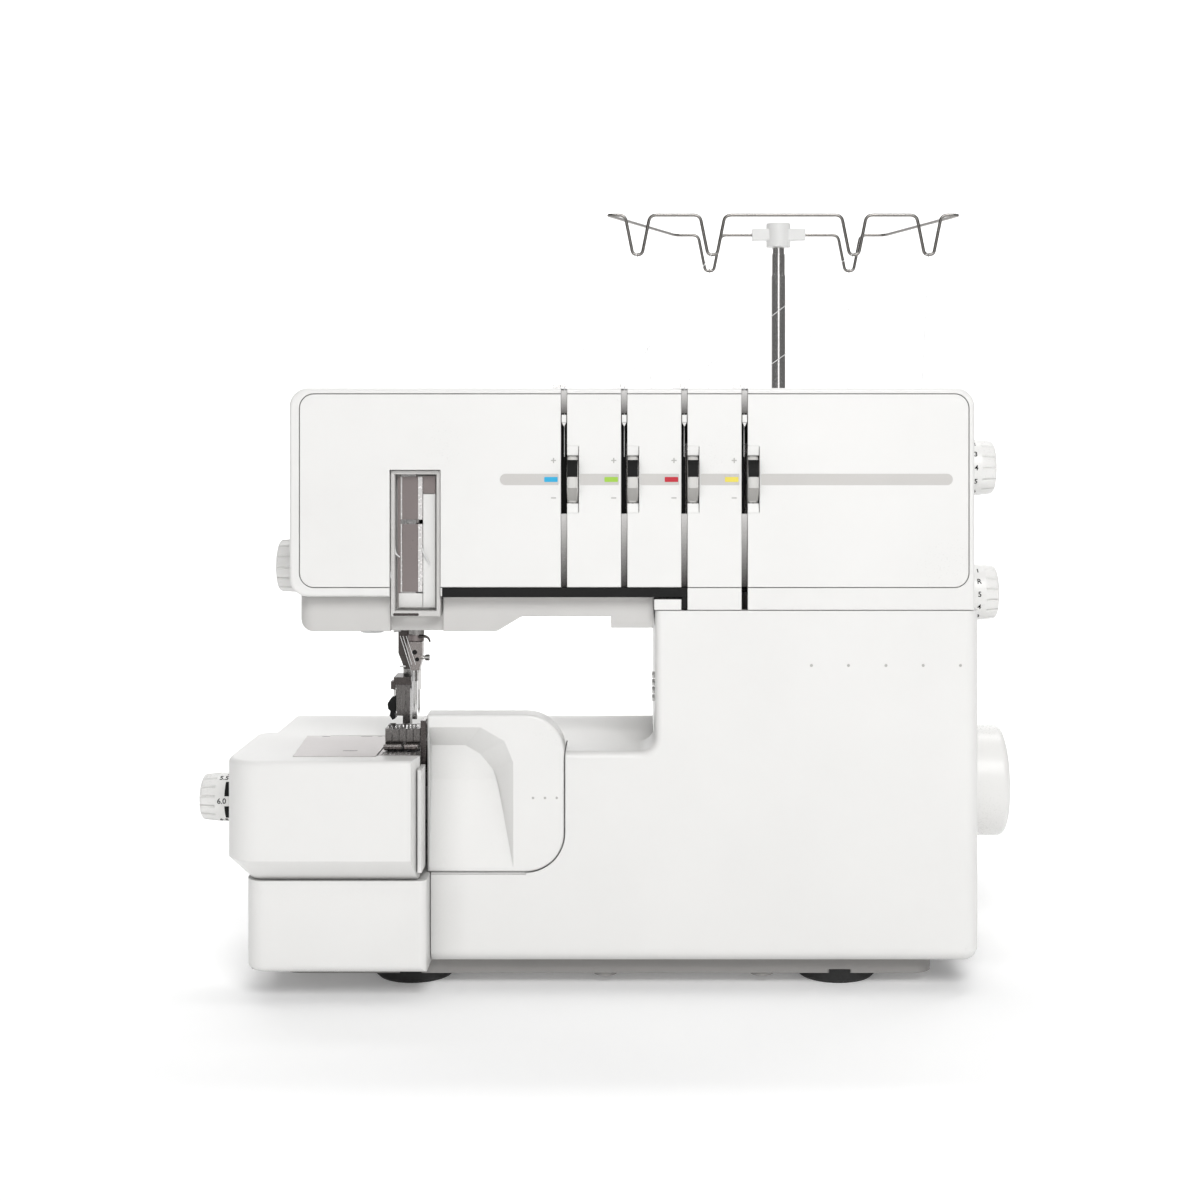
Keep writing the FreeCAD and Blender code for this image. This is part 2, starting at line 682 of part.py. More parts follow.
def make_head_rear_cover():
    wall = s.shell_wall
    head = new_body("HeadRear")
    y0 = head_seam + s.shell_gap
    pad(head, "Y", y0, head_back, head_outline(head_left, head_right, s.head_top_height))
    soften(head, "Fillet", s.head_round, dict(along="Y", x=head_left, z=s.head_top_height),
           dict(along="Y", x=head_right, z=s.head_top_height), dict(along="Y", x=head_left, z=s.arm_height))
    soften(head, "Fillet", 7.0, dict(along="X", y=head_back, z=s.head_top_height))
    pocket(head, "Y", y0, head_back - wall,
           rectangle(head_left + wall, head_right - wall, s.head_joint_height, s.head_top_height - wall))
    pocket(head, "Y", head_back - wall - 12, head_back + 1,
           rectangle(presser_x - 4, presser_x + 4, s.arm_height + 6, s.arm_height + 34))
    keep("head_rear_cover", head)


def make_arm_lower_cover():
    top = s.arm_height - s.shell_gap
    low = s.arm_height - s.arm_cover_drop
    y0 = front + s.arm_cover_setback
    y1 = head_back - 18
    left_x = head_left + 2.7
    cover = new_body("ArmLower")
    outline = [(left_x, low), (pillar - 63.7, low), (pillar - 53.7, low + 6), (pillar - 17.7, low + 6),
               (pillar - 17.7, low + 1.4), (pillar - s.shell_gap - 0.3, low + 1.4),
               (pillar - s.shell_gap - 0.3, top), (left_x, top)]
    pad(cover, "Y", y0, y1, outline)
    soften(cover, "Fillet", 3.5, dict(along="Y", x=pillar - 63.7, z=low), dict(along="Y", x=pillar - 53.7, z=low + 6))
    soften(cover, "Fillet", 6.0, dict(along="Y", x=left_x, z=low), dict(along="Z", x=left_x, y=y0))
    pocket(cover, "Z", low + 8.2, top, rectangle(left_x + 2.2, pillar - 3, y0 + 2.2, y1 - 2.2))
    pocket(cover, "Z", low - 1, top,
           rectangle(window_left - 0.5, window_right + 0.5, y0 - 1, front + 9.5),
           (needle_x, needle_y, s.needle_bar_radius + 4.5), (presser_x, presser_y, s.presser_bar_radius + 5),
           (head_left + 30.7, front + 18, s.lamp_radius + s.shell_gap))
    keep("arm_lower_cover", cover)


def make_base_block():
    wall = s.shell_wall
    body = new_body("BaseBlock")
    y0 = front - s.block_reach
    y1 = cloth_back
    x1 = looper_left + 1.5 - s.shell_gap
    pad(body, "Z", base, s.cloth_bottom - s.shell_gap, rectangle(left, x1, y0, y1))
    soften(body, "Fillet", 8.0, dict(along="Z", x=left, y=y0))
    soften(body, "Fillet", 3.0, dict(along="Z", x=x1, y=y0), dict(along="X", y=y0, z=base))
    pocket(body, "Z", base, s.cloth_bottom - s.shell_gap - wall, rectangle(left + wall, x1 - wall, y0 + wall, y1 + 1))
    keep("base_block", body)


def make_rear_bed_cover():
    wall = s.shell_wall
    gap = s.shell_gap
    body = new_body("RearBed")
    rear_start = cloth_back + gap
    outline = [(left + 0.7, rear_start), (needle_plate_left + gap, rear_start), (needle_plate_left + gap, plates_back + gap),
               (needle_plate_right + gap, plates_back + gap), (needle_plate_right + gap, bed_groove + 1),
               (needle_plate_right + 7, bed_groove + 1), (needle_plate_right + 7, front + 13.2),
               (looper_right - gap, front + 13.2), (looper_right - gap, bed_groove + 1),
               (pillar - gap, bed_groove + 1), (pillar - gap, bed_back), (left + 0.7, bed_back)]
    pad(body, "Z", base, s.bed_height - 0.4, outline)
    soften(body, "Fillet", 7.0, dict(along="X", y=bed_back, z=s.bed_height - 0.4), dict(along="Z", x=left + 0.7, y=bed_back))
    x0 = left + 0.7 + wall
    pocket(body, "Z", base, s.bed_height - 0.4 - wall, rectangle(x0, pillar, rear_start + wall, bed_back - wall))
    pocket(body, "Z", base, s.bed_height - 0.4 - wall,
           rectangle(needle_plate_left + gap + wall, pillar, plates_back + wall, rear_start + wall + 1))
    pocket(body, "Z", base, s.bed_height - 0.4 - wall,
           rectangle(needle_plate_right + gap + wall, pillar, bed_groove - 3, plates_back + wall + 1))
    pocket(body, "Z", base, s.bed_height - 0.4 - wall, rectangle(needle_plate_right + 7 + wall, looper_right - gap - wall,
                                                               front + 12, bed_groove + 2))
    pocket(body, "Z", base, s.bed_height - 12, rectangle(needle_plate_left - 1, pillar, front + 12, rear_start + wall + 1))
    keep("rear_bed_cover", body)


def make_cloth_plate():
    gap = s.shell_gap
    wall = 3.0
    body = new_body("ClothPlate")
    front_right = looper_left - 3.8
    notch_y = plates_front - gap
    outline = [(cloth_left, cloth_front), (front_right, cloth_front),
               (looper_left - gap - 1.5, notch_y), (cloth_right, notch_y), (cloth_right, cloth_back),
               (cloth_left, cloth_back)]
    pad(body, "Z", s.cloth_bottom, s.bed_height, outline)
    soften(body, "Fillet", s.cloth_corner, dict(along="Z", x=cloth_left, y=cloth_front))
    soften(body, "Chamfer", 9.0, dict(along="X", y=cloth_front, z=s.cloth_bottom))
    soften(body, "Fillet", 7.0, dict(along="Z", x=cloth_left, y=cloth_back))
    soften(body, "Fillet", 6.0, dict(along="Z", x=cloth_right, y=cloth_back))
    soften(body, "Fillet", 2.0, dict(z=s.bed_height, y=cloth_front))
    inner_front = cloth_front + wall + 8.5
    pocket(body, "Z", s.cloth_bottom, s.bed_height - 5.0,
           rectangle(cloth_left + wall + 2, cloth_right + 1, inner_front, cloth_back - 15))
    pocket(body, "Z", s.cloth_bottom, s.bed_height - 5.0,
           rectangle(cloth_left + 17, cloth_right + 1, cloth_back - 16, cloth_back + 1))
    pocket(body, "Z", s.bed_height - s.plate_thickness, s.bed_height,
           rectangle(cloth_right - s.insert_width - gap, cloth_right + 1, plates_front - gap, plates_back + gap))
    pocket(body, "X", cloth_left - 1, cloth_left + wall + 3,
           (front + s.width_knob_setback, s.width_knob_height, s.knob_stem_radius + s.running_fit))
    keep("cloth_plate", body)
    insert = new_body("ClothInsert")
    pad(insert, "Z", s.bed_height - s.plate_thickness, s.bed_height,
        rectangle(cloth_right - s.insert_width, cloth_right, plates_front, plates_back))
    soften(insert, "Fillet", 1.5, dict(along="Z", x=cloth_right - s.insert_width))
    marks = [rectangle(cloth_right - 20, cloth_right - 8, plates_front + 6 + 5 * row, plates_front + 7 + 5 * row)
             for row in range(3)]
    pocket(insert, "Z", s.bed_height - 0.5, s.bed_height, *marks)
    keep("cloth_plate_insert", insert)


def make_looper_cover():
    cover = new_body("LooperCover")
    top = s.looper_cover_top
    low = s.looper_cover_bottom
    back = front + s.looper_cover_depth
    pad(cover, "Y", front, back, rectangle(looper_left, looper_right, low, top))
    soften(cover, "Fillet", 15.5, dict(along="Y", x=looper_right, z=low), dict(along="Y", x=looper_right, z=top))
    soften(cover, "Fillet", 1.2, dict(along="X", y=front, z=top), dict(along="Z", x=looper_right, y=front),
           dict(along="Z", x=looper_left, y=front))
    outer = [(looper_left + 0.8, low + 2), (looper_right - 20.5, low + 2), (looper_right - 20.5, top - 19),
             (looper_right - 24, top - 10.5), (looper_right - 33.5, top - 5), (looper_left + 0.8, top - 5)]
    floor = [(looper_left + 0.8, top - 27), (looper_right - 27.5, top - 27), (looper_right - 29.5, top - 22.8),
             (looper_right - 34.5, top - 16.8), (looper_right - 40.5, top - 13.3), (looper_left + 0.8, top - 13.3)]
    first = sketch(cover, "Y", front, [outer])
    second = sketch(cover, "Y", front + 7.5, [floor])
    scoop = cover.newObject("PartDesign::SubtractiveLoft", "Scoop")
    scoop.Profile = first
    scoop.Sections = [second]
    scoop.Ruled = True
    doc.recompute()
    pocket(cover, "Y", back - 2.0, back, rectangle(looper_left + 2.5, looper_right - 18, low + 4, s.bed_height - 20))
    keep("looper_cover", cover)


# ------------------------------------------------------------------ bed plates and feed
def make_needle_plate():
    plate = new_body("NeedlePlate")
    top = s.bed_height
    under = top - s.plate_thickness
    notch_x = looper_left - 4.6
    outline = [(needle_plate_left, plates_front), (notch_x, plates_front), (notch_x, front + 15),
               (needle_plate_right, front + 15), (needle_plate_right, plates_back), (needle_plate_left, plates_back)]
    pad(plate, "Z", under, top, outline)
    dog = needle_plate_left + 1.2
    pocket(plate, "Z", under, top,
           rectangle(needle_x - 2.3, needle_x + 1.7, needle_y - 2, needle_y + 2),
           rectangle(dog, dog + 2.4, front + 7.5, front + 22), rectangle(dog, dog + 2.4, front + 23.5, front + 36),
           rectangle(dog + 4.4, dog + 6.8, front + 7.5, front + 22),
           rectangle(dog + 4.4, dog + 6.8, front + 23.5, front + 36))
    keep("needle_plate", plate)


def make_feed_dogs():
    dog = needle_plate_left + 1.2
    for label, y0, y1, deep in (("feed_dog_differential", front + 10.5, front + 19.5, 22.0),
                                ("feed_dog_main", front + 26.5, front + 33.0, 8.0)):
        top = s.bed_height - s.plate_thickness
        carrier_top = top - 2 - deep
        pieces = []
        for x in (dog + 0.4, dog + 4.8):
            pieces.append(block(x, x + 1.6, y0, y1, carrier_top - 2, top))
            teeth = 4
            pitch = (y1 - y0) / teeth
            for step in range(teeth):
                pieces.append(block(x, x + 1.6, y0 + pitch * step, y0 + pitch * step + pitch * 0.55, top - 1, top + 1.7))
        pieces.append(block(dog + 0.4, dog + 6.4, y0, y1, carrier_top - 8, carrier_top))
        pieces.append(block(dog + 0.4, dog + 6.4, y0, front + 62, carrier_top - 8, carrier_top - 2))
        keep(label, joined(*pieces))


def feed_guides():
    """Rests of the two feed bars, part of the chassis."""
    dog = needle_plate_left + 1.2
    y0, y1 = front + 48, front + 54
    guides = []
    for deep in (22.0, 8.0):
        z = s.bed_height - s.plate_thickness - 2 - deep - 8
        guides.append(block(dog - 0.9, dog + 9.8, y0, y1, z - 2.3, z - 0.3))
    guides.append(block(dog + 6.8, dog + 9.8, y0, y1, 20.0, s.bed_height - 13))
    guides.append(block(dog + 6.8, dog + 30, y0, y1 + 14, base + 0.2, 24.0))
    return guides


# ------------------------------------------------------------------ chassis and drive
def make_chassis():
    z0 = base + 0.2
    y0 = lower_seam + 4
    y1 = head_back - 14
    y_floor = bed_back - 4
    upright = pillar + 45
    beam_low = s.arm_height + 14
    beam_top = s.arm_height + 24
    pieces = [block(needle_plate_right, right - 12, y0, y_floor, z0, z0 + 6.6),
              block(needle_plate_right + 6, needle_plate_right + 14, y0, y_floor, z0, s.bed_height - 16),
              block(needle_plate_right + 32, needle_plate_right + 40, y0, y0 + 8, z0, 50),
              block(upright, upright + 8, y0, y1, z0, beam_top),
              block(head_left + 10, upright + 8, y0, y1, beam_low, beam_top),
              block(needle_x - 9, needle_x + 9, needle_y - 6, y0, beam_low, beam_top),
              block(needle_plate_left + 9, needle_plate_right - 0.5, plates_back - 6, plates_back - 0.2,
                    s.bed_height - 20, s.bed_height - s.plate_thickness),
              block(needle_plate_left + 9, needle_plate_right + 14, plates_back - 6, y0 + 1,
                    s.bed_height - 20, s.bed_height - 12.2)]
    pieces += feed_guides()
    pieces += looper_shafts()
    pieces += knife_holder()
    hub_y = head_back - 16
    holes = [rod("X", needle_plate_right, shaft_y, s.shaft_height, s.shaft_radius + s.running_fit, 200),
             rod("Z", needle_x, needle_y, s.arm_height, s.needle_bar_radius + s.running_fit, 40),
             rod("Z", presser_x, presser_y, s.arm_height, s.presser_bar_radius + s.running_fit, 40),
             block(needle_x - 2.6, needle_x + 2.6, needle_y - 7, needle_y, beam_low - 1, beam_top + 1),
             block(presser_x - 4.5, presser_x + 4.5, hub_y - 8, y1 + 1, beam_low - 1, beam_top + 1)]
    frame = less(joined(*pieces), *holes)
    keep("chassis", joined(frame, rod("X", presser_x - 6, hub_y, s.arm_height + 20, 2, 12)))


def make_drive():
    pulley_x = right - 27
    wheel_x = right + 2.3
    face = right + s.handwheel_reach
    keep("main_shaft", rod("X", needle_plate_right + 3, shaft_y, s.shaft_height, s.shaft_radius,
                           face - 6 - needle_plate_right - 3))
    r = s.handwheel_radius
    length = face - wheel_x
    wheel = turned("Handwheel", "X", (wheel_x, shaft_y, s.shaft_height),
                   [(s.shaft_radius + 0.01, 0), (r - 3, 0), (r, 4), (r, length), (0, length), (0, length - 4),
                    (s.shaft_radius + 0.01, length - 4)], [(r, length, 3.0)])
    keep("handwheel", wheel)
    rim = s.pulley_radius
    pulley = turned("MainPulley", "X", (pulley_x, shaft_y, s.shaft_height),
                    [(s.shaft_radius + 0.01, 0), (rim + 2, 0), (rim + 2, 1.2), (rim, 1.5), (rim, 8.5), (rim + 2, 8.8),
                     (rim + 2, 10), (s.shaft_radius + 0.01, 10)])
    keep("main_pulley", pulley)
    small = s.motor_pulley_radius
    pulley = turned("MotorPulley", "X", (pulley_x, motor_y, s.motor_height),
                    [(1, 0), (small + 2, 0), (small + 2, 1.2), (small, 1.5), (small, 8.5), (small + 2, 8.8),
                     (small + 2, 10), (1, 10)])
    motor_x = pulley_x - 68
    motor = joined(rod("X", motor_x, motor_y, s.motor_height, s.motor_radius, 60),
                   rod("X", motor_x + 60, motor_y, s.motor_height, 9, 3),
                   block(motor_x + 8, motor_x + 50, motor_y - 16, motor_y + 16, base + 0.1, s.motor_height - 12))
    keep("motor", less(motor, rod("X", motor_x + 40, motor_y, s.motor_height, 2.5 + s.running_fit, 30)))
    keep("motor_rotor", joined(rod("X", motor_x + 41, motor_y, s.motor_height, 2.5, 36), pulley))
    keep("drive_belt", drive_belt(pulley_x))


def drive_belt(pulley_x):
    """A flat belt round both pulleys: an outer hull less an inner one, from sketches with arcs."""
    belt = new_body("DriveBelt")
    run = 0.25
    for grow, cutting in ((run + s.belt_thickness, False), (as_size(run), True)):
        outline = belt_outline(s.pulley_radius + grow, s.motor_pulley_radius + grow)
        item = sketch(belt, "X", pulley_x + 2, [outline])
        kind = "PartDesign::Pocket" if cutting else "PartDesign::Pad"
        feature = belt.newObject(kind, "Ring")
        feature.Profile = item
        bind(feature, "Length", 6)
        feature.Reversed = cutting
        doc.recompute()
    return belt


def belt_outline(large, small):
    """Corners of the belt's path: many short runs on each pulley, joined by two straight ones."""
    dy = (motor_y - shaft_y).value
    dz = (s.motor_height - s.shaft_height).value
    distance = math.hypot(dy, dz)
    lean = math.atan2(dz, dy)
    wrap = math.acos((large.value - small.value) / distance)
    points = []
    steps = 28
    for index in range(steps + 1):
        angle = lean + wrap + (2 * math.pi - 2 * wrap) * index / steps
        points.append((shaft_y + large * math.cos(angle), s.shaft_height + large * math.sin(angle)))
    for index in range(steps + 1):
        angle = lean - wrap + 2 * wrap * index / steps
        points.append((motor_y + small * math.cos(angle), s.motor_height + small * math.sin(angle)))
    return points


# ------------------------------------------------------------------ loopers and knives
def make_loopers():
    hub_z = 42.0
    x = needle_plate_right + 10
    y = front + 19
    lower = joined(rod("Y", x, y, hub_z, 6, 10), block(x - 3, x + 3, y, y + 6, hub_z + 4, hub_z + 34),
                   block(x - 12, x + 3, y, y + 6, hub_z + 30, hub_z + 36),
                   block(x - 12, x - 8, y + 1, y + 5, hub_z + 34, hub_z + 44),
                   block(x - 23, x - 8, y + 2, y + 4, hub_z + 42, hub_z + 45))
    keep("lower_looper", less(lower, rod("Y", x, y - 1, hub_z, 3 + s.running_fit, 14)))
    x2 = x + 26
    upper = joined(rod("Y", x2, y, hub_z, 6, 10), block(x2 - 3, x2 + 3, y, y + 6, hub_z + 4, hub_z + 24),
                   block(x2 - 14, x2 + 3, y, y + 6, hub_z + 20, hub_z + 26),
                   block(x2 - 14, x2 - 10, y + 1, y + 5, hub_z + 24, hub_z + 38),
                   block(x2 - 17, x2 - 10, y + 2, y + 4, hub_z + 36, hub_z + 39))
    keep("upper_looper", less(upper, rod("Y", x2, y - 1, hub_z, 3 + s.running_fit, 14)))


def looper_shafts():
    """Shafts that carry the loopers, part of the chassis."""
    y = front + 19
    length = lower_seam + 5 - y
    return [rod("Y", needle_plate_right + 10, y, 42.0, 3, length), rod("Y", needle_plate_right + 36, y, 42.0, 3, length)]


def make_knives():
    x = looper_left - 2.6
    y0 = front + 1.5
    blade = prism("X", x, x + 1.6, [(y0, 90), (y0 + 3, 87), (y0 + 13, 91), (y0 + 13, s.bed_height + 12),
                                    (y0 + 2, s.bed_height + 12), (y0, s.bed_height + 9)])
    arm_y = y0 + 11.5
    arm = joined(blade, block(x + 1.0, needle_plate_right + 3, arm_y, arm_y + 4, 100, 108),
                 block(needle_plate_right + 0.5, needle_plate_right + 5, arm_y, arm_y + 4, 56, 108),
                 block(x + 1.0, x + 2.2, y0 + 1, arm_y + 4, 101, 107))
    keep("upper_knife", arm)
    keep("lower_knife", block(x - 1.9, x - 0.1, y0, y0 + 12, 62, s.bed_height - 0.2))


def knife_holder():
    """Carrier of the lower knife, part of the chassis."""
    x = looper_left - 2.6
    y0 = front + 1.5
    low = s.bed_height - 36
    return [block(x - 6.4, x - 1.9, y0, plates_back - 3, low, low + 10),
            block(x - 6.4, x - 1.9, plates_back - 10, plates_back - 3, low, s.bed_height - 19)]


# ------------------------------------------------------------------ needles and presser
def make_needle_bar():
    top = s.arm_height + 40
    low = s.arm_height - 18
    keep("needle_bar", joined(rod("Z", needle_x, needle_y, low, s.needle_bar_radius, top - low),
                              block(needle_x - 2.2, needle_x + 2.2, needle_y - 9, needle_y, s.arm_height + 29, s.arm_height + 32)))
    clamp_low = low - 13.5
    clamp = joined(rod("Z", needle_x, needle_y, clamp_low, 3.9, 13.5), rod("X", needle_x + 2, needle_y, clamp_low + 6, 1.5, 5.4))
    holes = [rod("Y", needle_x - 1, needle_y - 5, clamp_low + height, 0.9, 3) for height in (5.0, 8.6)]
    holes += [rod("Z", needle_x + side, needle_y, clamp_low - 1, s.needle_radius + 0.25, 9)
              for side in (-s.needle_pitch / 2, s.needle_pitch / 2)]
    keep("needle_clamp", less(clamp, *holes))
    needles = []
    for side, drop in ((-s.needle_pitch / 2, 0.0), (s.needle_pitch / 2, 1.5)):
        tip = clamp_low - 17 - drop
        body = joined(taper("Z", needle_x + side, needle_y, tip, 0.05, s.needle_radius, 3),
                      rod("Z", needle_x + side, needle_y, tip + 3, s.needle_radius, clamp_low - tip - 3),
                      rod("Z", needle_x + side, needle_y, clamp_low, s.needle_radius + 0.2, 7.9))
        needles.append(body)
    keep("needles", together(*needles))


def make_presser():
    low = s.bed_height + 21
    bar = rod("Z", presser_x, presser_y, low, s.presser_bar_radius, s.arm_height + 44 - low)
    keep("presser_bar", bar)
    ankle = joined(block(presser_x - 4, presser_x + 4, presser_y - 6, presser_y + 4, low - 2, low + 6),
                   block(presser_x - 4, presser_x + 2.0, presser_y - 11, presser_y - 4, low - 12, low - 1),
                   block(presser_x - 7.5, presser_x - 3, presser_y - 5, presser_y - 1, low - 9, low - 1))
    ankle = less(ankle, rod("Z", presser_x, presser_y, low - 0.5, s.presser_bar_radius + 0.05, 10),
                 rod("X", presser_x - 8, presser_y - 8, low - 10, 0.9, 14),
                 block(presser_x - 2, presser_x + 0.6, presser_y - 13, presser_y - 4.6, low - 13, low - 5.5))
    keep("presser_holder", ankle)
    sole = s.bed_height + 0.3
    foot_left = presser_x - 7.2
    foot = new_body("PresserFoot")
    toe = front - 2.5
    heel = presser_y + 2
    pin_y = presser_y - 8
    pad(foot, "X", foot_left, foot_left + 14.3, [(toe, sole + 2.4), (toe + 4, sole), (pin_y + 2.5, sole), (heel, sole + 1.1),
                                                  (heel, sole + 3.2), (heel - 4, sole + 3.6), (toe + 6, sole + 3.6),
                                                  (toe, sole + 4.6)])
    pocket(foot, "Z", sole, sole + 5, rectangle(needle_x - 3.2, needle_x + 2.4, needle_y - 5, needle_y + 5),
           rectangle(foot_left + 3, foot_left + 4.2, toe - 1, needle_y - 8))
    lug = rectangle(presser_x - 1.8, presser_x + 0.4, pin_y - 2.2, pin_y + 2.2)
    pad(foot, "Z", sole + 3, low - 8, lug)
    pad(foot, "X", presser_x - 3.2, presser_x + 1.6, (pin_y, low - 10, 0.8))
    keep("presser_foot", foot)
    lever = joined(rod("X", presser_x - 3, head_back - 16, s.arm_height + 20, 5, 6),
                   block(presser_x - 3, presser_x + 3, head_back - 16, head_back + 16, s.arm_height + 18, s.arm_height + 22))
    keep("lifter_lever", less(lever, rod("X", presser_x - 4, head_back - 16, s.arm_height + 20, 2 + s.running_fit, 8)))


# ------------------------------------------------------------------ thread path on the head
def make_tension():
    plate_y = dial_y + s.dial_radius + 0.6
    face_back = front + s.head_wall
    disc_radius = dial_y - face_back - 0.5
    posts = [block(slots[0] - 8, slots[3] + 22, plate_y, plate_y + 3, s.dial_height - 16, s.dial_height + 16),
             block(slots[1], slots[1] + 10, plate_y + 3, lower_seam + 4, s.arm_height + 14.5, s.arm_height + 23.5),
             block(slots[1], slots[1] + 10, plate_y, plate_y + 3, s.arm_height + 14.5, s.dial_height)]
    for number, x in enumerate(slots, start=1):
        middle = x + s.dial_offset
        half = s.dial_width / 2
        dial = turned("Dial%d" % number, "X", (middle - half, dial_y, s.dial_height),
                      [(s.post_radius + s.running_fit, 0), (s.dial_radius - 0.6, 0), (s.dial_radius, 0.6),
                       (s.dial_radius, s.dial_width - 0.6), (s.dial_radius - 0.6, s.dial_width),
                       (s.post_radius + s.running_fit, s.dial_width)])
        keep("tension_dial_%d" % number, dial)
        start = middle - half
        posts.append(rod("X", start, dial_y, s.dial_height, s.post_radius, 16))
        posts.append(block(start + 10, start + 14, face_back + 1.9, plate_y, s.dial_height - 4, s.dial_height + 4))
        for step in (0, 1):
            posts.append(rod("X", start + s.dial_width + 0.6 + 1.5 * step, dial_y, s.dial_height, disc_radius, 1.0))
    keep("tension_unit", joined(*posts))
    liners = []
    for number, x in enumerate(slots):
        low = s.arm_height + s.thread_gate_height if number < 2 else s.arm_height + 1
        y0 = front + s.head_wall + 0.1
        outer = block(x - 3, x + 3, y0, y0 + 9, low, s.head_top_height - s.shell_wall - 0.2)
        inner = block(x - s.slot_width / 2, x + s.slot_width / 2, y0 - 1, y0 + 7.6, low - 1, s.head_top_height)
        room = block(x + 0.6, x + 4, y0 - 1, y0 + 10, s.dial_height - s.dial_radius - 0.6,
                     s.dial_height + s.dial_radius + 0.6)
        liners.append(less(outer, inner, room))
    keep("thread_channels", together(*liners))
    tabs = []
    for x in slots:
        y0 = front + 3
        foot = block(x - 4.5, x - 1.6, y0, y0 + 6, s.head_top_height, s.head_top_height + 1.6)
        hook = block(x - 1.7, x + 0.7, y0 + 1, y0 + 3, s.head_top_height + 0.4, s.head_top_height + 1.6)
        tabs.append(joined(foot, hook))
    gate_right = window_right + s.thread_gate_width
    tabs.append(joined(
        block(window_right + 1, gate_right - 0.5, front + s.head_wall - 1.2, front + s.head_wall,
              s.arm_height + 0.2, s.arm_height + 2.2),
        block(window_right + 1, pillar - 3, front + s.head_wall + 0.1, front + s.arm_cover_setback + 4,
              s.arm_height + 0.2, s.arm_height + 1.4),
        block(window_right + 1, pillar - 3, front + s.head_wall - 0.1, front + s.head_wall + 0.3,
              s.arm_height + 0.2, s.arm_height + 1.4)))
    keep("face_thread_guides", together(*tabs, *make_window()))


def make_window():
    """The take-up window's insert; returns the guard bars in it."""
    gap = s.shell_gap
    x0 = window_left + gap
    x1 = window_right - gap
    y0 = front + s.head_wall - 1.4
    y1 = front + 9.2
    low = s.arm_height - s.window_drop
    top = window_top - gap
    shell = less(block(x0, x1, y0, y1, low, top), block(x0 + 1.5, x1 - 1.5, y0 - 1, y1 - 1.2, low + 2.2, top - 1.5),
                 block(x0 + 5, x1 - 5, y0 + 2, y1 - 1.5, low - 1, low + 3),
                 block(x0 + 5, x1 - 5, y1 - 2, y1 + 1, low + 12, top - 6))
    keep("take_up_window", shell)
    bar_x = x0 + 3.4
    bars = [block(bar_x, bar_x + 6.2, y1 - 3.6, y1 - 1.3, low + 4, low + 31.5),
            block(bar_x, bar_x + 6.2, y1 - 3.6, y1 - 1.3, low + 34.5, top - 1.6)]
    return bars


# ------------------------------------------------------------------ knobs and lamp
def make_knobs():
    wall = s.shell_wall
    stem = s.knob_stem_radius
    r = s.knob_radius
    for label, height, side_x, face_x in (("differential_feed_knob", s.feed_knob_height, head_right, right + 16.3),
                                          ("stitch_length_knob", s.length_knob_height, right, right + 17.3)):
        start = side_x + 0.4
        length = face_x - start
        knob = turned("Knob", "X", (start, knob_y, height),
                      [(0, -6), (stem, -6), (stem, 0), (r + 0.2, 0), (r + 0.2, 2.2), (r - 0.6, 2.6), (r - 0.6, length),
                       (0, length)], [(r - 0.6, length, 1.6)])
        keep(label, knob)
    length = 15.1 - 0.4
    knob = turned("Knob", "X", (head_left - 0.4 - length, knob_y, s.pressure_knob_height),
                  [(0, 0), (r - 0.6, 0), (r - 0.6, length - 2.6), (r, length - 2.2), (r, length), (stem, length),
                   (stem, length + 6), (0, length + 6)], [(r - 0.6, 0, 1.6)])
    keep("foot_pressure_knob", knob)
    r = s.width_knob_radius
    length = cloth_left - 0.3 + s.machine_width / 2 + 26.3
    knob = turned("Knob", "X", (left - 26.3, front + s.width_knob_setback, s.width_knob_height),
                  [(0, 0), (r - 1.2, 0), (r - 1.2, 10), (r, 10.4), (r, length), (stem, length), (stem, length + 7),
                   (0, length + 7)], [(r - 1.2, 0, 1.6)])
    keep("cutting_width_knob", knob)
    lamp = turned("Lamp", "Z", (head_left + 30.7, front + 18, s.arm_height - s.arm_cover_drop - 2.2),
                  [(0, 0), (4.4, 0.5), (s.lamp_radius - 0.8, 1.9), (s.lamp_radius, 3.2), (s.lamp_radius, 7.4),
                   (0, 7.4)])
    keep("lamp_lens", lamp)


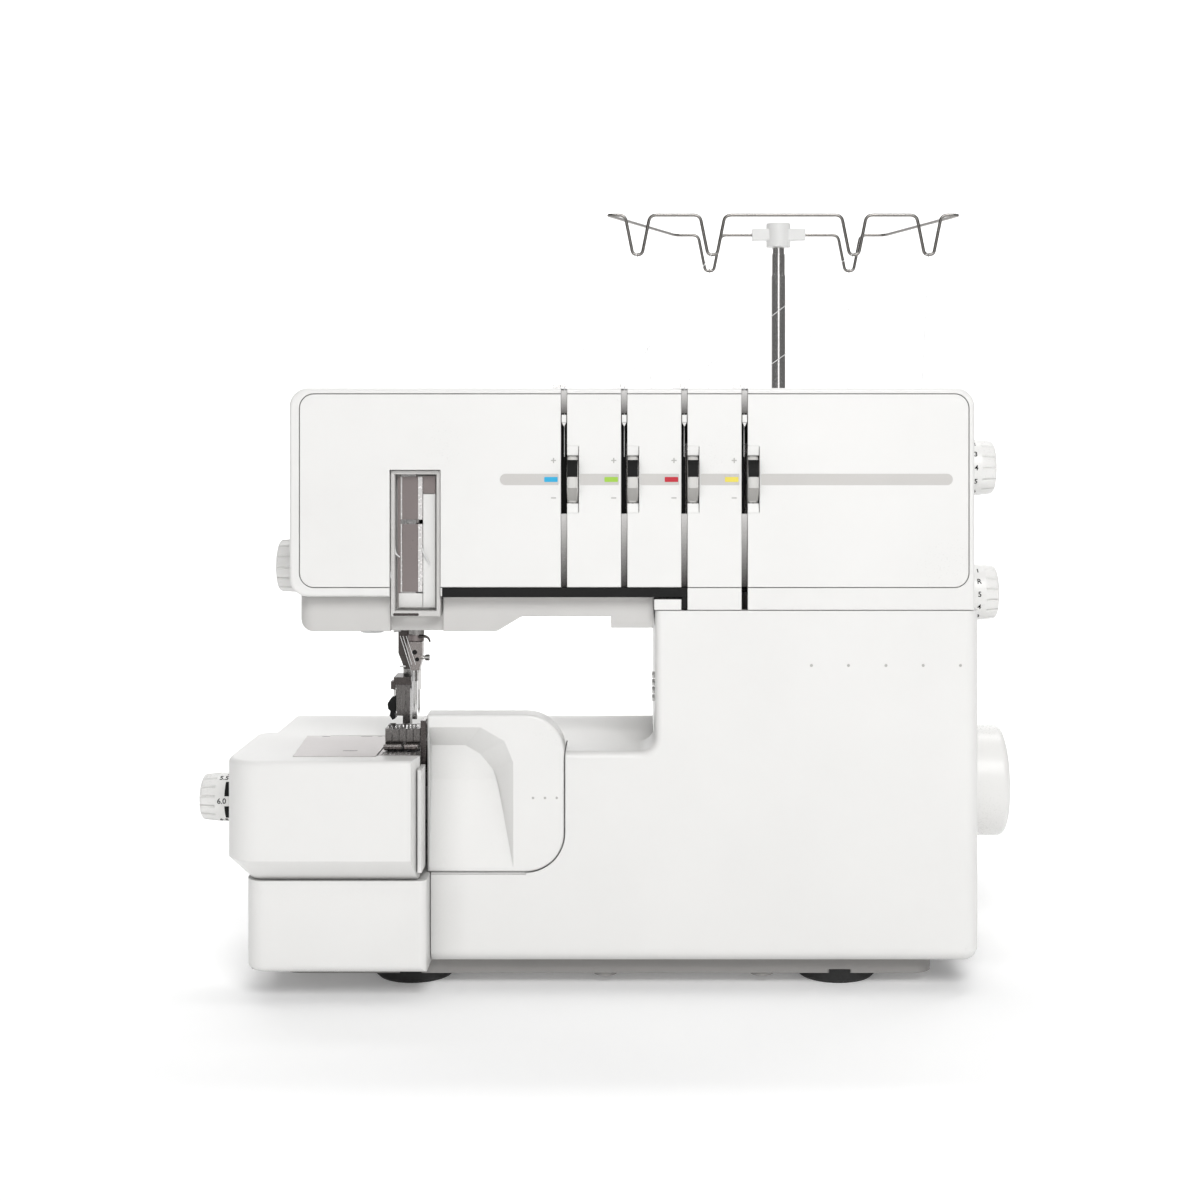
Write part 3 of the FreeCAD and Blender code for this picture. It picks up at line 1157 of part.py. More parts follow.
# ------------------------------------------------------------------ thread stand
def make_stand():
    tray = new_body("SpoolTray")
    pad(tray, "Z", s.tray_height, tray_top + 5, rectangle(tray_left, tray_right, tray_front, tray_back))
    soften(tray, "Fillet", 26.0, dict(along="Z"))
    soften(tray, "Fillet", 1.5, dict(z=s.tray_height))
    middle_x = (tray_left + tray_right) / 2
    pocket(tray, "Z", tray_top, tray_top + 5,
           (tray_left + 2, tray_right - 2, tray_front + 2, tray_back - 2, 24.0))
    pocket(tray, "Z", s.tray_height, s.tray_height + 2,
           rectangle(tray_left + 28, tray_right - 34, casing_back + 2, tray_back - 28))
    keep("spool_tray", tray)
    places = [(middle_x - s.pin_spread_outer / 2, tray_front + 30), (middle_x + s.pin_spread_outer / 2, tray_front + 30),
              (mast_x - s.pin_spread_inner / 2, tray_front + 108), (mast_x + s.pin_spread_inner / 2, tray_front + 108)]
    pins = []
    holders = []
    cones = []
    for x, y in places:
        pins.append(joined(rod("Z", x, y, tray_top, s.pin_radius, s.pin_height - 2),
                           taper("Z", x, y, tray_top + s.pin_height - 2, s.pin_radius, 1.2, 2)))
        holder = joined(rod("Z", x, y, tray_top, s.cone_radius - 2, 2), taper("Z", x, y, tray_top + 2, 9.5, 7.5, 26))
        holders.append(less(holder, rod("Z", x, y, tray_top - 1, s.pin_radius + 0.05, 40)))
        cone = taper("Z", x, y, tray_top + 2.1, s.cone_radius, s.cone_top_radius, s.cone_height)
        bore = taper("Z", x, y, tray_top + 1.1, 9.75, 6.5, s.cone_height + 2)
        cones.append(less(cone, bore))
    keep("spool_pins", together(*pins, *holders))
    keep("thread_cones", together(*cones))
    make_mast()


def make_mast():
    x, y = mast_x, mast_y
    low_top = tray_top + s.mast_lower_length
    r1, r2, r3 = s.mast_lower_radius, s.mast_middle_radius, s.mast_top_radius
    lower = less(rod("Z", x, y, tray_top, r1, s.mast_lower_length), rod("Z", x, y, tray_top + 4, r2 + s.mast_fit, 300))
    keep("mast_lower", joined(lower, less(rod("Z", x, y, tray_top, r1 + 4, 6), rod("Z", x, y, tray_top - 1, r1 - 0.1, 20))))
    middle_top = low_top + s.mast_step
    middle_low = tray_top + 9
    keep("mast_middle", less(rod("Z", x, y, middle_low, r2, middle_top - middle_low),
                             rod("Z", x, y, middle_low + 3, r3 + s.mast_fit, 300)))
    top_low = middle_low + 9
    clamp_low = middle_top + 3.6
    clamp_top = s.guide_height + 6
    keep("mast_top", rod("Z", x, y, top_low, r3, s.guide_height - 2.6 - top_low))
    clamp = joined(rod("Z", x, y, clamp_low, 6.4, clamp_top - clamp_low),
                   block(x - 14, x + 14, y - 4, y + 4, s.guide_height - 3, s.guide_height + 3))
    keep("guide_clamp", less(clamp, rod("Z", x, y, clamp_low - 1, r3 + 0.01, s.guide_height - 2.6 - clamp_low + 1),
                             rod("X", x - 20, y, s.guide_height, s.guide_wire_radius + 0.01, 40)))
    keep("thread_guide_wire", guide_wire())


def notch_places():
    """Middles of the wire's notches: four along its front run, two along its back run."""
    middle = (tray_left + tray_right) / 2 - 3.5
    front_run = [middle + offset for offset in (-70, -34, 34, 70)]
    back_run = [mast_x + offset for offset in (37.5, -36.5)]
    return front_run, back_run


def wire_corners():
    """The closed wire's bends: level runs, with a notch bent downwards for every thread."""
    y0, y1 = wire_front_y.value, mast_y.value
    z, low = s.guide_height.value, (s.guide_height - s.notch_depth).value
    half, foot = s.notch_half_width.value, s.notch_foot.value
    front_run, back_run = notch_places()
    mast = mast_x.value
    ends = ((tray_left + tray_right) / 2 - 3.5).value
    corners = [(ends - 84.6, y0, z)]
    for place in front_run:
        x = place.value
        corners += [(x - half, y0, z), (x - foot, y0, low), (x + foot, y0, low), (x + half, y0, z)]
    corners += [(ends + 84.6, y0, z), (mast + 56.5, y1, z)]
    for place in back_run:
        x = place.value
        corners += [(x + half, y1, z), (x + foot, y1, low), (x - foot, y1, low), (x - half, y1, z)]
    return corners + [(mast - 54.8, y1, z)]


def guide_wire():
    corners = wire_corners()
    r = s.guide_wire_radius.value
    pieces = []
    for index, corner in enumerate(corners):
        start = FreeCAD.Vector(*corner)
        run = FreeCAD.Vector(*corners[(index + 1) % len(corners)]) - start
        pieces.append(Part.makeCylinder(r, run.Length, start, run))
        pieces.append(Part.makeSphere(r, start))
    item = doc.addObject("Part::Feature", "GuideWire")
    item.Shape = pieces[0].multiFuse(pieces[1:])
    return item


def thread_paths():
    """Points of the four threads, from each cone over the wire's notches to the head."""
    front_run, back_run = notch_places()
    y0, y1 = wire_front_y.value, mast_y.value
    low = (s.guide_height - s.notch_depth).value
    reach = (s.guide_wire_radius + s.thread_radius + 0.1).value
    cone_top = (tray_top + s.cone_height + 1.6).value
    middle = (tray_left + tray_right) / 2
    beside = s.cone_top_radius + s.thread_radius + 0.35
    outer_y = (tray_front + 30 + beside).value
    inner_y = (tray_front + 108 + beside).value
    outer = [(middle - s.pin_spread_outer / 2).value, (middle + s.pin_spread_outer / 2).value]
    inner = [(mast_x - s.pin_spread_inner / 2).value, (mast_x + s.pin_spread_inner / 2).value]
    head_z = (s.head_top_height + 1.6 + s.thread_radius + 0.1).value
    head = [(x.value, (front + 5).value, head_z) for x in slots]

    def over(place, y):
        return [(place.value, y + reach, low), (place.value, y + reach, low + reach), (place.value, y - reach, low + reach)]

    return [
        [(outer[0], outer_y, cone_top)] + over(front_run[0], y0) + [head[0]],
        [(inner[0], inner_y, cone_top)] + over(back_run[1], y1) + over(front_run[1], y0)[1:] + [head[1]],
        [(inner[1], inner_y, cone_top)] + over(back_run[0], y1) + over(front_run[2], y0)[1:] + [head[2]],
        [(outer[1], outer_y, cone_top)] + over(front_run[3], y0) + [head[3]],
    ]


# ------------------------------------------------------------------ electrics and screws
def make_electrics():
    x1 = right + 1.0
    x0 = right - s.shell_wall
    y0, y1, z0, z1 = motor_y - 27, motor_y - 3, 22.0, 58.0
    inlet = less(joined(block(right, x1, y0 - 2, y1 + 2, z0 - 2, z1 + 2), block(right - 16, x1, y0, y1, z0, z1)),
                 block(right - 13, x1 + 1, y0 + 3, y1 - 3, z0 + 4, z1 - 4))
    pins = [rod("X", right - 13.5, (y0 + y1) / 2 + dy, 40 + dz, 1.6, 9) for dy, dz in ((-5, 0), (5, 0), (0, 7))]
    y0, y1, z0, z1 = motor_y + 3, motor_y + 24, 26.0, 54.0
    frame = less(joined(block(right, x1, y0 - 2, y1 + 2, z0 - 2, z1 + 2), block(right - 12, x1, y0, y1, z0, z1)),
                 block(right - 10, x1 + 1, y0 + 2.5, y1 - 2.5, z0 + 3, z1 - 3))
    keep("inlet_and_switch", together(joined(inlet, *pins), joined(frame, rod("Y", right - 3.6, y0 + 2.4, 40, 0.9, 16.2))))
    rocker = new_body("Rocker")
    pad(rocker, "Y", y0 + 2.8, y1 - 2.8, [(right - 6.5, 33), (right + 0.2, 30.4), (right - 1.2, 40), (right + 0.2, 49.6),
                                           (right - 6.5, 47)])
    pocket(rocker, "Y", y0 + 2.7, y1 - 2.7, (right - 3.6, 40, 0.9 + s.running_fit))
    keep("power_rocker", rocker)
    screws = []
    for x, z in ((pillar + 8, 22), (right - 8, 22), (right - 12, 128)):
        screws.append(less(rod("Y", x, casing_back, z, 3.4, 1.2), block(x - 3, x + 3, casing_back + 0.6, casing_back + 2, z - 0.5, z + 0.5)))
    for x in (head_left + 25, head_right - 25):
        screws.append(less(rod("Y", x, head_back, s.head_top_height - 20, 3.4, 0.35),
                           block(x - 3, x + 3, head_back + 0.1, head_back + 1, s.head_top_height - 20.5, s.head_top_height - 19.5)))
    top = s.bed_height
    for y in (plates_back - 3, front + 22):
        x = needle_plate_right - 4
        screws.append(less(rod("Z", x, y, top, 2.2, 0.9), block(x - 2.3, x + 2.3, y - 0.35, y + 0.35, top + 0.4, top + 1)))
    keep("screws", together(*screws))


def make_threads():
    threads = []
    for path in thread_paths():
        pieces = []
        for start, end in zip(path, path[1:]):
            a, b = FreeCAD.Vector(*start), FreeCAD.Vector(*end)
            pieces.append(Part.makeCylinder(s.thread_radius.value, (b - a).Length, a, b - a))
            pieces.append(Part.makeSphere(s.thread_radius.value, b))
        threads.append(pieces[0].multiFuse(pieces[1:]))
    item = doc.addObject("Part::Feature", "Threads")
    item.Shape = Part.makeCompound(threads)
    keep("threads", item)


def export_all():
    doc.recompute()
    for item in doc.Objects:
        if "Invalid" in item.State or "Error" in item.State:
            raise RuntimeError("%s fails" % item.Label)
    for item in nodes:
        if item.Shape.isNull() or not item.Shape.isValid() or not item.Shape.Solids:
            raise RuntimeError("%s has no sound shape" % item.Label)
    os.makedirs("parts", exist_ok=True)
    for item in nodes:
        item.Shape.exportStep("parts/%s.step" % item.Label)


make_base()
make_front_casing()
make_rear_casing()
make_head_cover()
make_front_panel()
make_head_rear_cover()
make_arm_lower_cover()
make_base_block()
make_rear_bed_cover()
make_cloth_plate()
make_looper_cover()
make_needle_plate()
make_feed_dogs()
make_chassis()
make_drive()
make_loopers()
make_knives()
make_needle_bar()
make_presser()
make_tension()
make_knobs()
make_stand()
make_electrics()
make_threads()
export_all()
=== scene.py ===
"""Looks of the serger overlock machine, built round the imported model. All lengths are in metres."""
import math

import bmesh
import bpy
from mathutils import Matrix, Vector


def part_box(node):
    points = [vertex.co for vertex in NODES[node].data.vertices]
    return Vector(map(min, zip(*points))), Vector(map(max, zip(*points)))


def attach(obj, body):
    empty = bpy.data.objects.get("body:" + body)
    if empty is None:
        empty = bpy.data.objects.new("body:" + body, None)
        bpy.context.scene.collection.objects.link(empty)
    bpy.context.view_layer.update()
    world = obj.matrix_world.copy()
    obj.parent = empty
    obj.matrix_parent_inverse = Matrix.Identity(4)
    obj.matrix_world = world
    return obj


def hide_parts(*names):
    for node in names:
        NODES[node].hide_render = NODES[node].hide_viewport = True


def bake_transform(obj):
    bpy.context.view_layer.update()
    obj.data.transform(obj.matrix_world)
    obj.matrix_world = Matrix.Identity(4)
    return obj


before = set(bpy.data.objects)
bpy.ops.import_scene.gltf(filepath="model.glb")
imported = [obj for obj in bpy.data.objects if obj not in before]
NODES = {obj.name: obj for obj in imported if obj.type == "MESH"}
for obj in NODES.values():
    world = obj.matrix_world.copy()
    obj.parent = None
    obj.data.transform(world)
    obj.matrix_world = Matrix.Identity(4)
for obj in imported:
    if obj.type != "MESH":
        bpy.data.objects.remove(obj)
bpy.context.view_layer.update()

MM = 0.001
DIAL_NUMBERS = range(1, 5)
WIRE_RADIUS = 0.8 * MM
FRONT_NOTCHES = (-70, -34, 34, 70)  # mm from the middle of the wire's front run
REAR_NOTCHES = (37.5, -36.5)  # mm from the mast
CONE_FOOT, CONE_TOP = 22.0 * MM, 12.0 * MM
REAR_CONES = (46.0 * MM, 120.0 * MM)


# ------------------------------------------------------------------ millimetres to metres
def mm(*values):
    return tuple(value * MM for value in values)


def mm_rows(rows):
    """Points, or a turned profile's rows, that are given in millimetres."""
    return [mm(*row) for row in rows]


def placed(place, *points):
    """Points that are given in millimetres from a place in metres."""
    x, y, z = place
    return [(x + dx * MM, y + dy * MM, z + dz * MM) for dx, dy, dz in points]


# ------------------------------------------------------------------ places read from the frame
def low(node):
    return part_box(node)[0]


def high(node):
    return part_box(node)[1]


def middle(node):
    first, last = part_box(node)
    return (first + last) / 2


# ------------------------------------------------------------------ materials
class Nodes:
    """A material's node tree, with short ways to add and join its nodes."""

    def __init__(self, name):
        self.item = bpy.data.materials.new(name)
        self.item.use_nodes = True
        self.tree = self.item.node_tree
        self.shader = self.tree.nodes["Principled BSDF"]
        self.place = self.add("ShaderNodeTexCoord").outputs["Object"]

    def add(self, kind, **settings):
        node = self.tree.nodes.new(kind)
        for key, value in settings.items():
            setattr(node, key, value)
        return node

    def join(self, start, end):
        self.tree.links.new(start, end)

    def noise(self, scale, detail=3.0, stretch=None):
        node = self.add("ShaderNodeTexNoise")
        node.inputs["Scale"].default_value = scale
        node.inputs["Detail"].default_value = detail
        place = self.place
        if stretch:
            mapping = self.add("ShaderNodeMapping")
            mapping.inputs["Scale"].default_value = stretch
            self.join(place, mapping.inputs["Vector"])
            place = mapping.outputs["Vector"]
        self.join(place, node.inputs["Vector"])
        return node.outputs["Fac"]

    def ramp(self, value, low_value, high_value, low_at=0.3, high_at=0.7):
        node = self.add("ShaderNodeMapRange")
        node.inputs["From Min"].default_value = low_at
        node.inputs["From Max"].default_value = high_at
        node.inputs["To Min"].default_value = low_value
        node.inputs["To Max"].default_value = high_value
        self.join(value, node.inputs["Value"])
        return node.outputs["Result"]

    def mix(self, factor, first, second):
        node = self.add("ShaderNodeMix", data_type="RGBA")
        self.join(factor, node.inputs[0])
        for socket, value in ((node.inputs[6], first), (node.inputs[7], second)):
            if hasattr(value, "links"):
                self.join(value, socket)
            else:
                socket.default_value = (*value, 1.0)
        return node.outputs[2]

    def maths(self, operation, first, second):
        node = self.add("ShaderNodeMath", operation=operation)
        for socket, value in ((node.inputs[0], first), (node.inputs[1], second)):
            if hasattr(value, "links"):
                self.join(value, socket)
            else:
                socket.default_value = value
        return node.outputs[0]

    def raise_by(self, height, strength):
        """Joins a bump to the shader and returns its node."""
        raised = self.add("ShaderNodeBump")
        raised.inputs["Strength"].default_value = strength
        raised.inputs["Distance"].default_value = BUMP_DEPTH
        self.join(height, raised.inputs["Height"])
        self.join(raised.outputs["Normal"], self.shader.inputs["Normal"])
        return raised

    def edges(self, radius):
        """Softened normal, and a mask that is 1 along sharp edges."""
        bevel = self.add("ShaderNodeBevel", samples=4)
        bevel.inputs["Radius"].default_value = radius
        flat = self.add("ShaderNodeNewGeometry")
        dot = self.add("ShaderNodeVectorMath", operation="DOT_PRODUCT")
        self.join(bevel.outputs["Normal"], dot.inputs[0])
        self.join(flat.outputs["Normal"], dot.inputs[1])
        return bevel.outputs["Normal"], self.ramp(dot.outputs["Value"], 1.0, 0.0, 0.90, 0.995)


def shade(colour, amount):
    return tuple(min(1.0, part * amount) for part in colour)


MOTTLE_SCALE, WEAR_SCALE = 22.0, 160.0
BUMP_DEPTH = 0.0002
# reach of the painted shade in creases and recesses
CREASE_SHADE_REACH = 0.016


def material(name, colour, rough, metal=0.0, grain=1400.0, bump=0.02, mottle=0.96, brushed=None,
             edge=0.0005, worn=None, coat=0.0, specular=0.5, dust=0.0):
    """Moulded plastic, enamel or metal: mottled colour, grain in its gloss and bump, worn and softened edges.

    The crease shade setting is painted shade: how much darker the colour gets in creases, recesses and under
    overhangs, found by ambient occlusion.
    """
    nodes = Nodes(name)
    shader = nodes.shader
    shader.inputs["Metallic"].default_value = metal
    shader.inputs["Coat Weight"].default_value = coat
    shader.inputs["Specular IOR Level"].default_value = specular
    wide = nodes.noise(MOTTLE_SCALE, 4.0)
    fine = nodes.noise(grain, 2.0, brushed)
    base = nodes.mix(nodes.ramp(wide, 0.0, 1.0), shade(colour, mottle), colour)
    normal, edge_mask = nodes.edges(edge)
    rub = nodes.maths("MULTIPLY", edge_mask, nodes.ramp(nodes.noise(WEAR_SCALE, 5.0), 0.0, 0.8, 0.42, 0.62))
    base = nodes.mix(rub, base, worn or shade(colour, 0.9))
    # painted shade: ambient occlusion darkens the colour in creases, recesses and under overhangs
    if dust:
        crease = nodes.add("ShaderNodeAmbientOcclusion", samples=4)
        crease.inputs["Distance"].default_value = CREASE_SHADE_REACH
        base = nodes.mix(nodes.ramp(crease.outputs["AO"], dust, 0.0, 0.25, 0.95), base, shade(colour, 0.45))
    nodes.join(base, shader.inputs["Base Color"])
    gloss = nodes.ramp(fine, rough - 0.05, rough + 0.05)
    gloss = nodes.maths("ADD", gloss, nodes.ramp(wide, -0.03, 0.04))
    nodes.join(gloss, shader.inputs["Roughness"])
    nodes.join(normal, nodes.raise_by(fine, bump).inputs["Normal"])
    return nodes.item


def graded(name, top_colour, low_colour, top, foot):
    """A moulded channel that falls back, with painted shade: its colour goes from light at the top to dark at
    its foot, as shade deepens down the channel.
    """
    nodes = Nodes(name)
    split = nodes.add("ShaderNodeSeparateXYZ")
    nodes.join(nodes.place, split.inputs[0])
    height = nodes.ramp(split.outputs["Z"], 0.0, 1.0, foot, top)
    grain = nodes.noise(1800.0, 3.0)
    height = nodes.maths("ADD", height, nodes.ramp(grain, -0.06, 0.06))
    nodes.join(nodes.mix(height, low_colour, top_colour), nodes.shader.inputs["Base Color"])
    nodes.join(nodes.ramp(grain, 0.45, 0.62), nodes.shader.inputs["Roughness"])
    nodes.raise_by(grain, 0.1)
    return nodes.item


WHITE = (0.83, 0.825, 0.81)
LOOKS = {}


def look(name, *values, make=material, **settings):
    LOOKS[name] = make(name, *values, **settings)


# the white shells get painted shade in their creases and recesses
look("shell_white", WHITE, 0.36, bump=0.035, mottle=0.975, dust=0.85)
look("cover_white", (0.84, 0.835, 0.82), 0.34, bump=0.025, mottle=0.975, dust=0.85)
look("underside_grey", (0.62, 0.61, 0.595), 0.42, bump=0.12)
look("base_grey", (0.34, 0.33, 0.32), 0.55, bump=0.15)
look("rubber_black", (0.018, 0.018, 0.018), 0.72, bump=0.3, grain=900.0)
look("plate_steel", (0.50, 0.475, 0.47), 0.40, 0.9, bump=0.12, grain=260.0, brushed=(1, 12, 1),
     worn=(0.8, 0.8, 0.8))
look("steel", (0.34, 0.33, 0.32), 0.28, 1.0, bump=0.06, edge=0.0002, worn=(0.62, 0.61, 0.6))
look("chrome", (0.62, 0.61, 0.60), 0.16, 1.0, bump=0.03, edge=0.0002, worn=(0.75, 0.75, 0.75))
look("frame_alloy", (0.42, 0.42, 0.42), 0.5, 1.0, bump=0.4, grain=600.0)
look("black_plastic", (0.008, 0.008, 0.008), 0.55, bump=0.15, specular=0.22)
look("knob_white", (0.82, 0.815, 0.80), 0.30, bump=0.05, edge=0.0003)
look("dial_grey", (0.50, 0.49, 0.48), 0.38, bump=0.08, edge=0.0003)
look("lens", (0.78, 0.79, 0.80), 0.12, bump=0.02, coat=0.5)
look("belt_rubber", (0.02, 0.02, 0.02), 0.75, bump=0.3, grain=700.0)
look("motor_steel", (0.25, 0.25, 0.26), 0.45, 1.0, bump=0.2)
look("tray_white", (0.80, 0.80, 0.785), 0.40, bump=0.12)
look("thread", (0.85, 0.85, 0.84), 0.7, bump=0.4, grain=5000.0)
look("pin_grey", (0.55, 0.55, 0.55), 0.4, bump=0.1)
look("clamp_white", (0.82, 0.82, 0.81), 0.4, bump=0.1)
look("switch_black", (0.025, 0.025, 0.027), 0.35, bump=0.1)
look("print_black", (0.008, 0.008, 0.008), 0.6, bump=0.02, edge=0.00005, specular=0.15)
look("print_white", (0.80, 0.79, 0.77), 0.4, bump=0.02, edge=0.00005)
look("print_grey", (0.48, 0.47, 0.45), 0.45, bump=0.02, edge=0.00005)
look("strip_grey", (0.60, 0.585, 0.565), 0.42, bump=0.03, edge=0.00005)
look("print_blue", (0.02, 0.42, 0.72), 0.35, bump=0.02, edge=0.00005)
look("print_green", (0.36, 0.62, 0.06), 0.35, bump=0.02, edge=0.00005)
look("print_red", (0.55, 0.012, 0.03), 0.35, bump=0.02, edge=0.00005)
look("print_yellow", (0.85, 0.72, 0.10), 0.35, bump=0.02, edge=0.00005)
look("dial_light", (0.66, 0.65, 0.63), 0.36, bump=0.05, edge=0.0002)
# the slot channels' colour is painted shade, light at the top and dark at the foot
look("channel_upper", (0.62, 0.61, 0.60), (0.10, 0.095, 0.09), 0.2405, 0.2312, make=graded)
look("channel_lower", (0.58, 0.57, 0.56), (0.035, 0.032, 0.03), 0.1912, 0.1620, make=graded)
# painted shade for the lower half of each dial, which faces down
look("dial_shade", (0.36, 0.35, 0.335), 0.42, bump=0.05, edge=0.0002)
look("bright_metal", (0.80, 0.78, 0.77), 0.25, 0.35, bump=0.05, edge=0.0002)
look("bar_brown", (0.26, 0.225, 0.22), 0.33, 0.55, bump=0.04, edge=0.0002, worn=(0.5, 0.47, 0.46))
look("dark_steel", (0.085, 0.075, 0.072), 0.30, 0.8, bump=0.08, edge=0.0003, worn=(0.42, 0.40, 0.39))
look("clamp_steel", (0.30, 0.275, 0.265), 0.26, 0.9, bump=0.05, edge=0.0004, worn=(0.75, 0.73, 0.72))
look("foot_steel", (0.17, 0.16, 0.155), 0.30, 0.85, bump=0.10, edge=0.0003, worn=(0.70, 0.68, 0.67))
look("wire_steel", (0.22, 0.21, 0.20), 0.22, 1.0, bump=0.03, edge=0.0001)
look("core_grey", (0.42, 0.43, 0.44), 0.4, bump=0.06)
look("thread_line", (0.78, 0.78, 0.78), 0.7, bump=0.2, grain=9000.0, edge=0.00005)


def dress_nodes():
    """Every CAD node takes the look of its own material slot."""
    for item in NODES.values():
        for slot in item.material_slots:
            slot.material = LOOKS[slot.material.name.split(".")[0]]


# ------------------------------------------------------------------ mesh helpers
def link(item):
    bpy.context.scene.collection.objects.link(item)


def piece(name, work, look, body, sharp=0.6):
    """Turns a bmesh into a named piece that rides on a CAD body."""
    bmesh.ops.recalc_face_normals(work, faces=work.faces)
    for face in work.faces:
        face.smooth = True
    for edge in work.edges:
        if len(edge.link_faces) == 2 and edge.calc_face_angle(0.0) > sharp:
            edge.smooth = False
    mesh = bpy.data.meshes.new(name)
    work.to_mesh(mesh)
    work.free()
    item = bpy.data.objects.new(name, mesh)
    mesh.materials.append(LOOKS[look])
    link(item)
    if body:
        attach(item, body)
    return item


def add_prism(work, outline, depth):
    """Adds a closed solid: an outline of 3-D points swept along the vector depth."""
    first = [work.verts.new(point) for point in outline]
    second = [work.verts.new(Vector(point) + Vector(depth)) for point in outline]
    work.faces.new(first)
    work.faces.new(second[::-1])
    count = len(outline)
    for index in range(count):
        after = (index + 1) % count
        work.faces.new((first[index], first[after], second[after], second[index]))


def add_box(work, x0, x1, y0, y1, z0, z1):
    add_prism(work, [(x0, y0, z0), (x1, y0, z0), (x1, y0, z1), (x0, y0, z1)], (0, y1 - y0, 0))


def add_box_at(work, place, x0, x1, y0, y1, z0, z1):
    """Adds a box whose sides are given in millimetres from a place."""
    (x0, y0, z0), (x1, y1, z1) = placed(place, (x0, y0, z0), (x1, y1, z1))
    add_box(work, x0, x1, y0, y1, z0, z1)


def ends_outline(x0, x1, z0, z1, y, left_round, right_round, steps=8):
    """A bar outline whose two ends have their own corner radius."""
    points = []
    for cx, cz, reach, turn in ((x1 - right_round, z1 - right_round, right_round, 0),
                                (x0 + left_round, z1 - left_round, left_round, 90),
                                (x0 + left_round, z0 + left_round, left_round, 180),
                                (x1 - right_round, z0 + right_round, right_round, 270)):
        for step in range(steps + 1):
            angle = math.radians(turn + 90 * step / steps)
            points.append((cx + reach * math.cos(angle), y, cz + reach * math.sin(angle)))
    return points


def rounded_outline(x0, x1, z0, z1, y, radius):
    """A rectangle with round corners, on a plane that faces the front."""
    return ends_outline(x0, x1, z0, z1, y, radius, radius, steps=6)


def add_front_plate(work, outline, y, depth):
    """A plate whose outline faces the front: (x, z) points in millimetres."""
    add_prism(work, [(x * MM, y, z * MM) for x, z in outline], (0, depth, 0))


def soft_edges(work, width, segments=2, angle=0.5):
    edges = [edge for edge in work.edges if len(edge.link_faces) == 2 and edge.calc_face_angle(0.0) > angle]
    bmesh.ops.bevel(work, geom=edges, offset=width, segments=segments, affect="EDGES", clamp_overlap=True,
                    profile=0.5)


AXES = {"X": (Vector((1, 0, 0)), Vector((0, 1, 0)), Vector((0, 0, 1))),
        "Y": (Vector((0, 1, 0)), Vector((0, 0, 1)), Vector((1, 0, 0))),
        "Z": (Vector((0, 0, 1)), Vector((1, 0, 0)), Vector((0, 1, 0)))}


def add_turned(work, axis, centre, profile, count=96, shape=None):
    """Adds a turned solid from (distance along the axis, radius); shape changes a radius by angle."""
    along, side, up = AXES[axis]
    centre = Vector(centre)
    rings = []
    for distance, radius in profile:
        if radius < 1e-7:
            rings.append([work.verts.new(centre + along * distance)])
            continue
        ring = []
        for step in range(count):
            angle = 2 * math.pi * step / count
            reach = shape(distance, radius, angle) if shape else radius
            ring.append(work.verts.new(centre + along * distance
                                       + (side * math.cos(angle) + up * math.sin(angle)) * reach))
        rings.append(ring)
    for first, second in zip(rings, rings[1:]):
        for step in range(count):
            after = (step + 1) % count
            if len(first) == 1:
                work.faces.new((first[0], second[step], second[after]))
            elif len(second) == 1:
                work.faces.new((first[step], first[after], second[0]))
            else:
                work.faces.new((first[step], first[after], second[after], second[step]))
    for ring in (rings[0][::-1], rings[-1]):
        if len(ring) > 1:
            work.faces.new(ring)


def arc(points, radius, steps=6, closed=False):
    """Rounds the corners of a run of points with arcs of a bent wire."""
    points = [Vector(point) for point in points]
    out = []
    count = len(points)
    for index, point in enumerate(points):
        if not closed and index in (0, count - 1):
            out.append(point)
            continue
        before = points[index - 1] - point
        after = points[(index + 1) % count] - point
        reach = min(radius, before.length * 0.45, after.length * 0.45)
        start = point + before.normalized() * reach
        end = point + after.normalized() * reach
        for step in range(steps + 1):
            part = step / steps
            out.append(start * (1 - part) ** 2 + point * 2 * part * (1 - part) + end * part ** 2)
    return out


def add_tube(work, points, radius, count=10, closed=False, taper=None):
    """Adds a round bar along points."""
    points = [Vector(point) for point in points]
    total = len(points)
    rings = []
    side = None
    for index, point in enumerate(points):
        if closed:
            run = points[(index + 1) % total] - points[index - 1]
        else:
            run = points[min(index + 1, total - 1)] - points[max(index - 1, 0)]
        run.normalize()
        if side is None:
            side = run.orthogonal().normalized()
        side = (side - run * side.dot(run)).normalized()
        up = run.cross(side)
        reach = radius * (taper(index / (total - 1)) if taper else 1.0)
        rings.append([work.verts.new(point + (side * math.cos(2 * math.pi * step / count)
                                              + up * math.sin(2 * math.pi * step / count)) * reach)
                      for step in range(count)])
    pairs = list(zip(rings, rings[1:]))
    if closed:
        pairs.append((rings[-1], rings[0]))
    for first, second in pairs:
        # the ring that closes a loop may be turned against the first one
        shift = 0
        if closed and first is rings[-1]:
            shift = min(range(count), key=lambda turn: (first[0].co - second[turn].co).length)
        for step in range(count):
            after = (step + 1) % count
            work.faces.new((first[step], first[after], second[(after + shift) % count],
                            second[(step + shift) % count]))
    if not closed:
        work.faces.new(rings[0][::-1])
        work.faces.new(rings[-1])


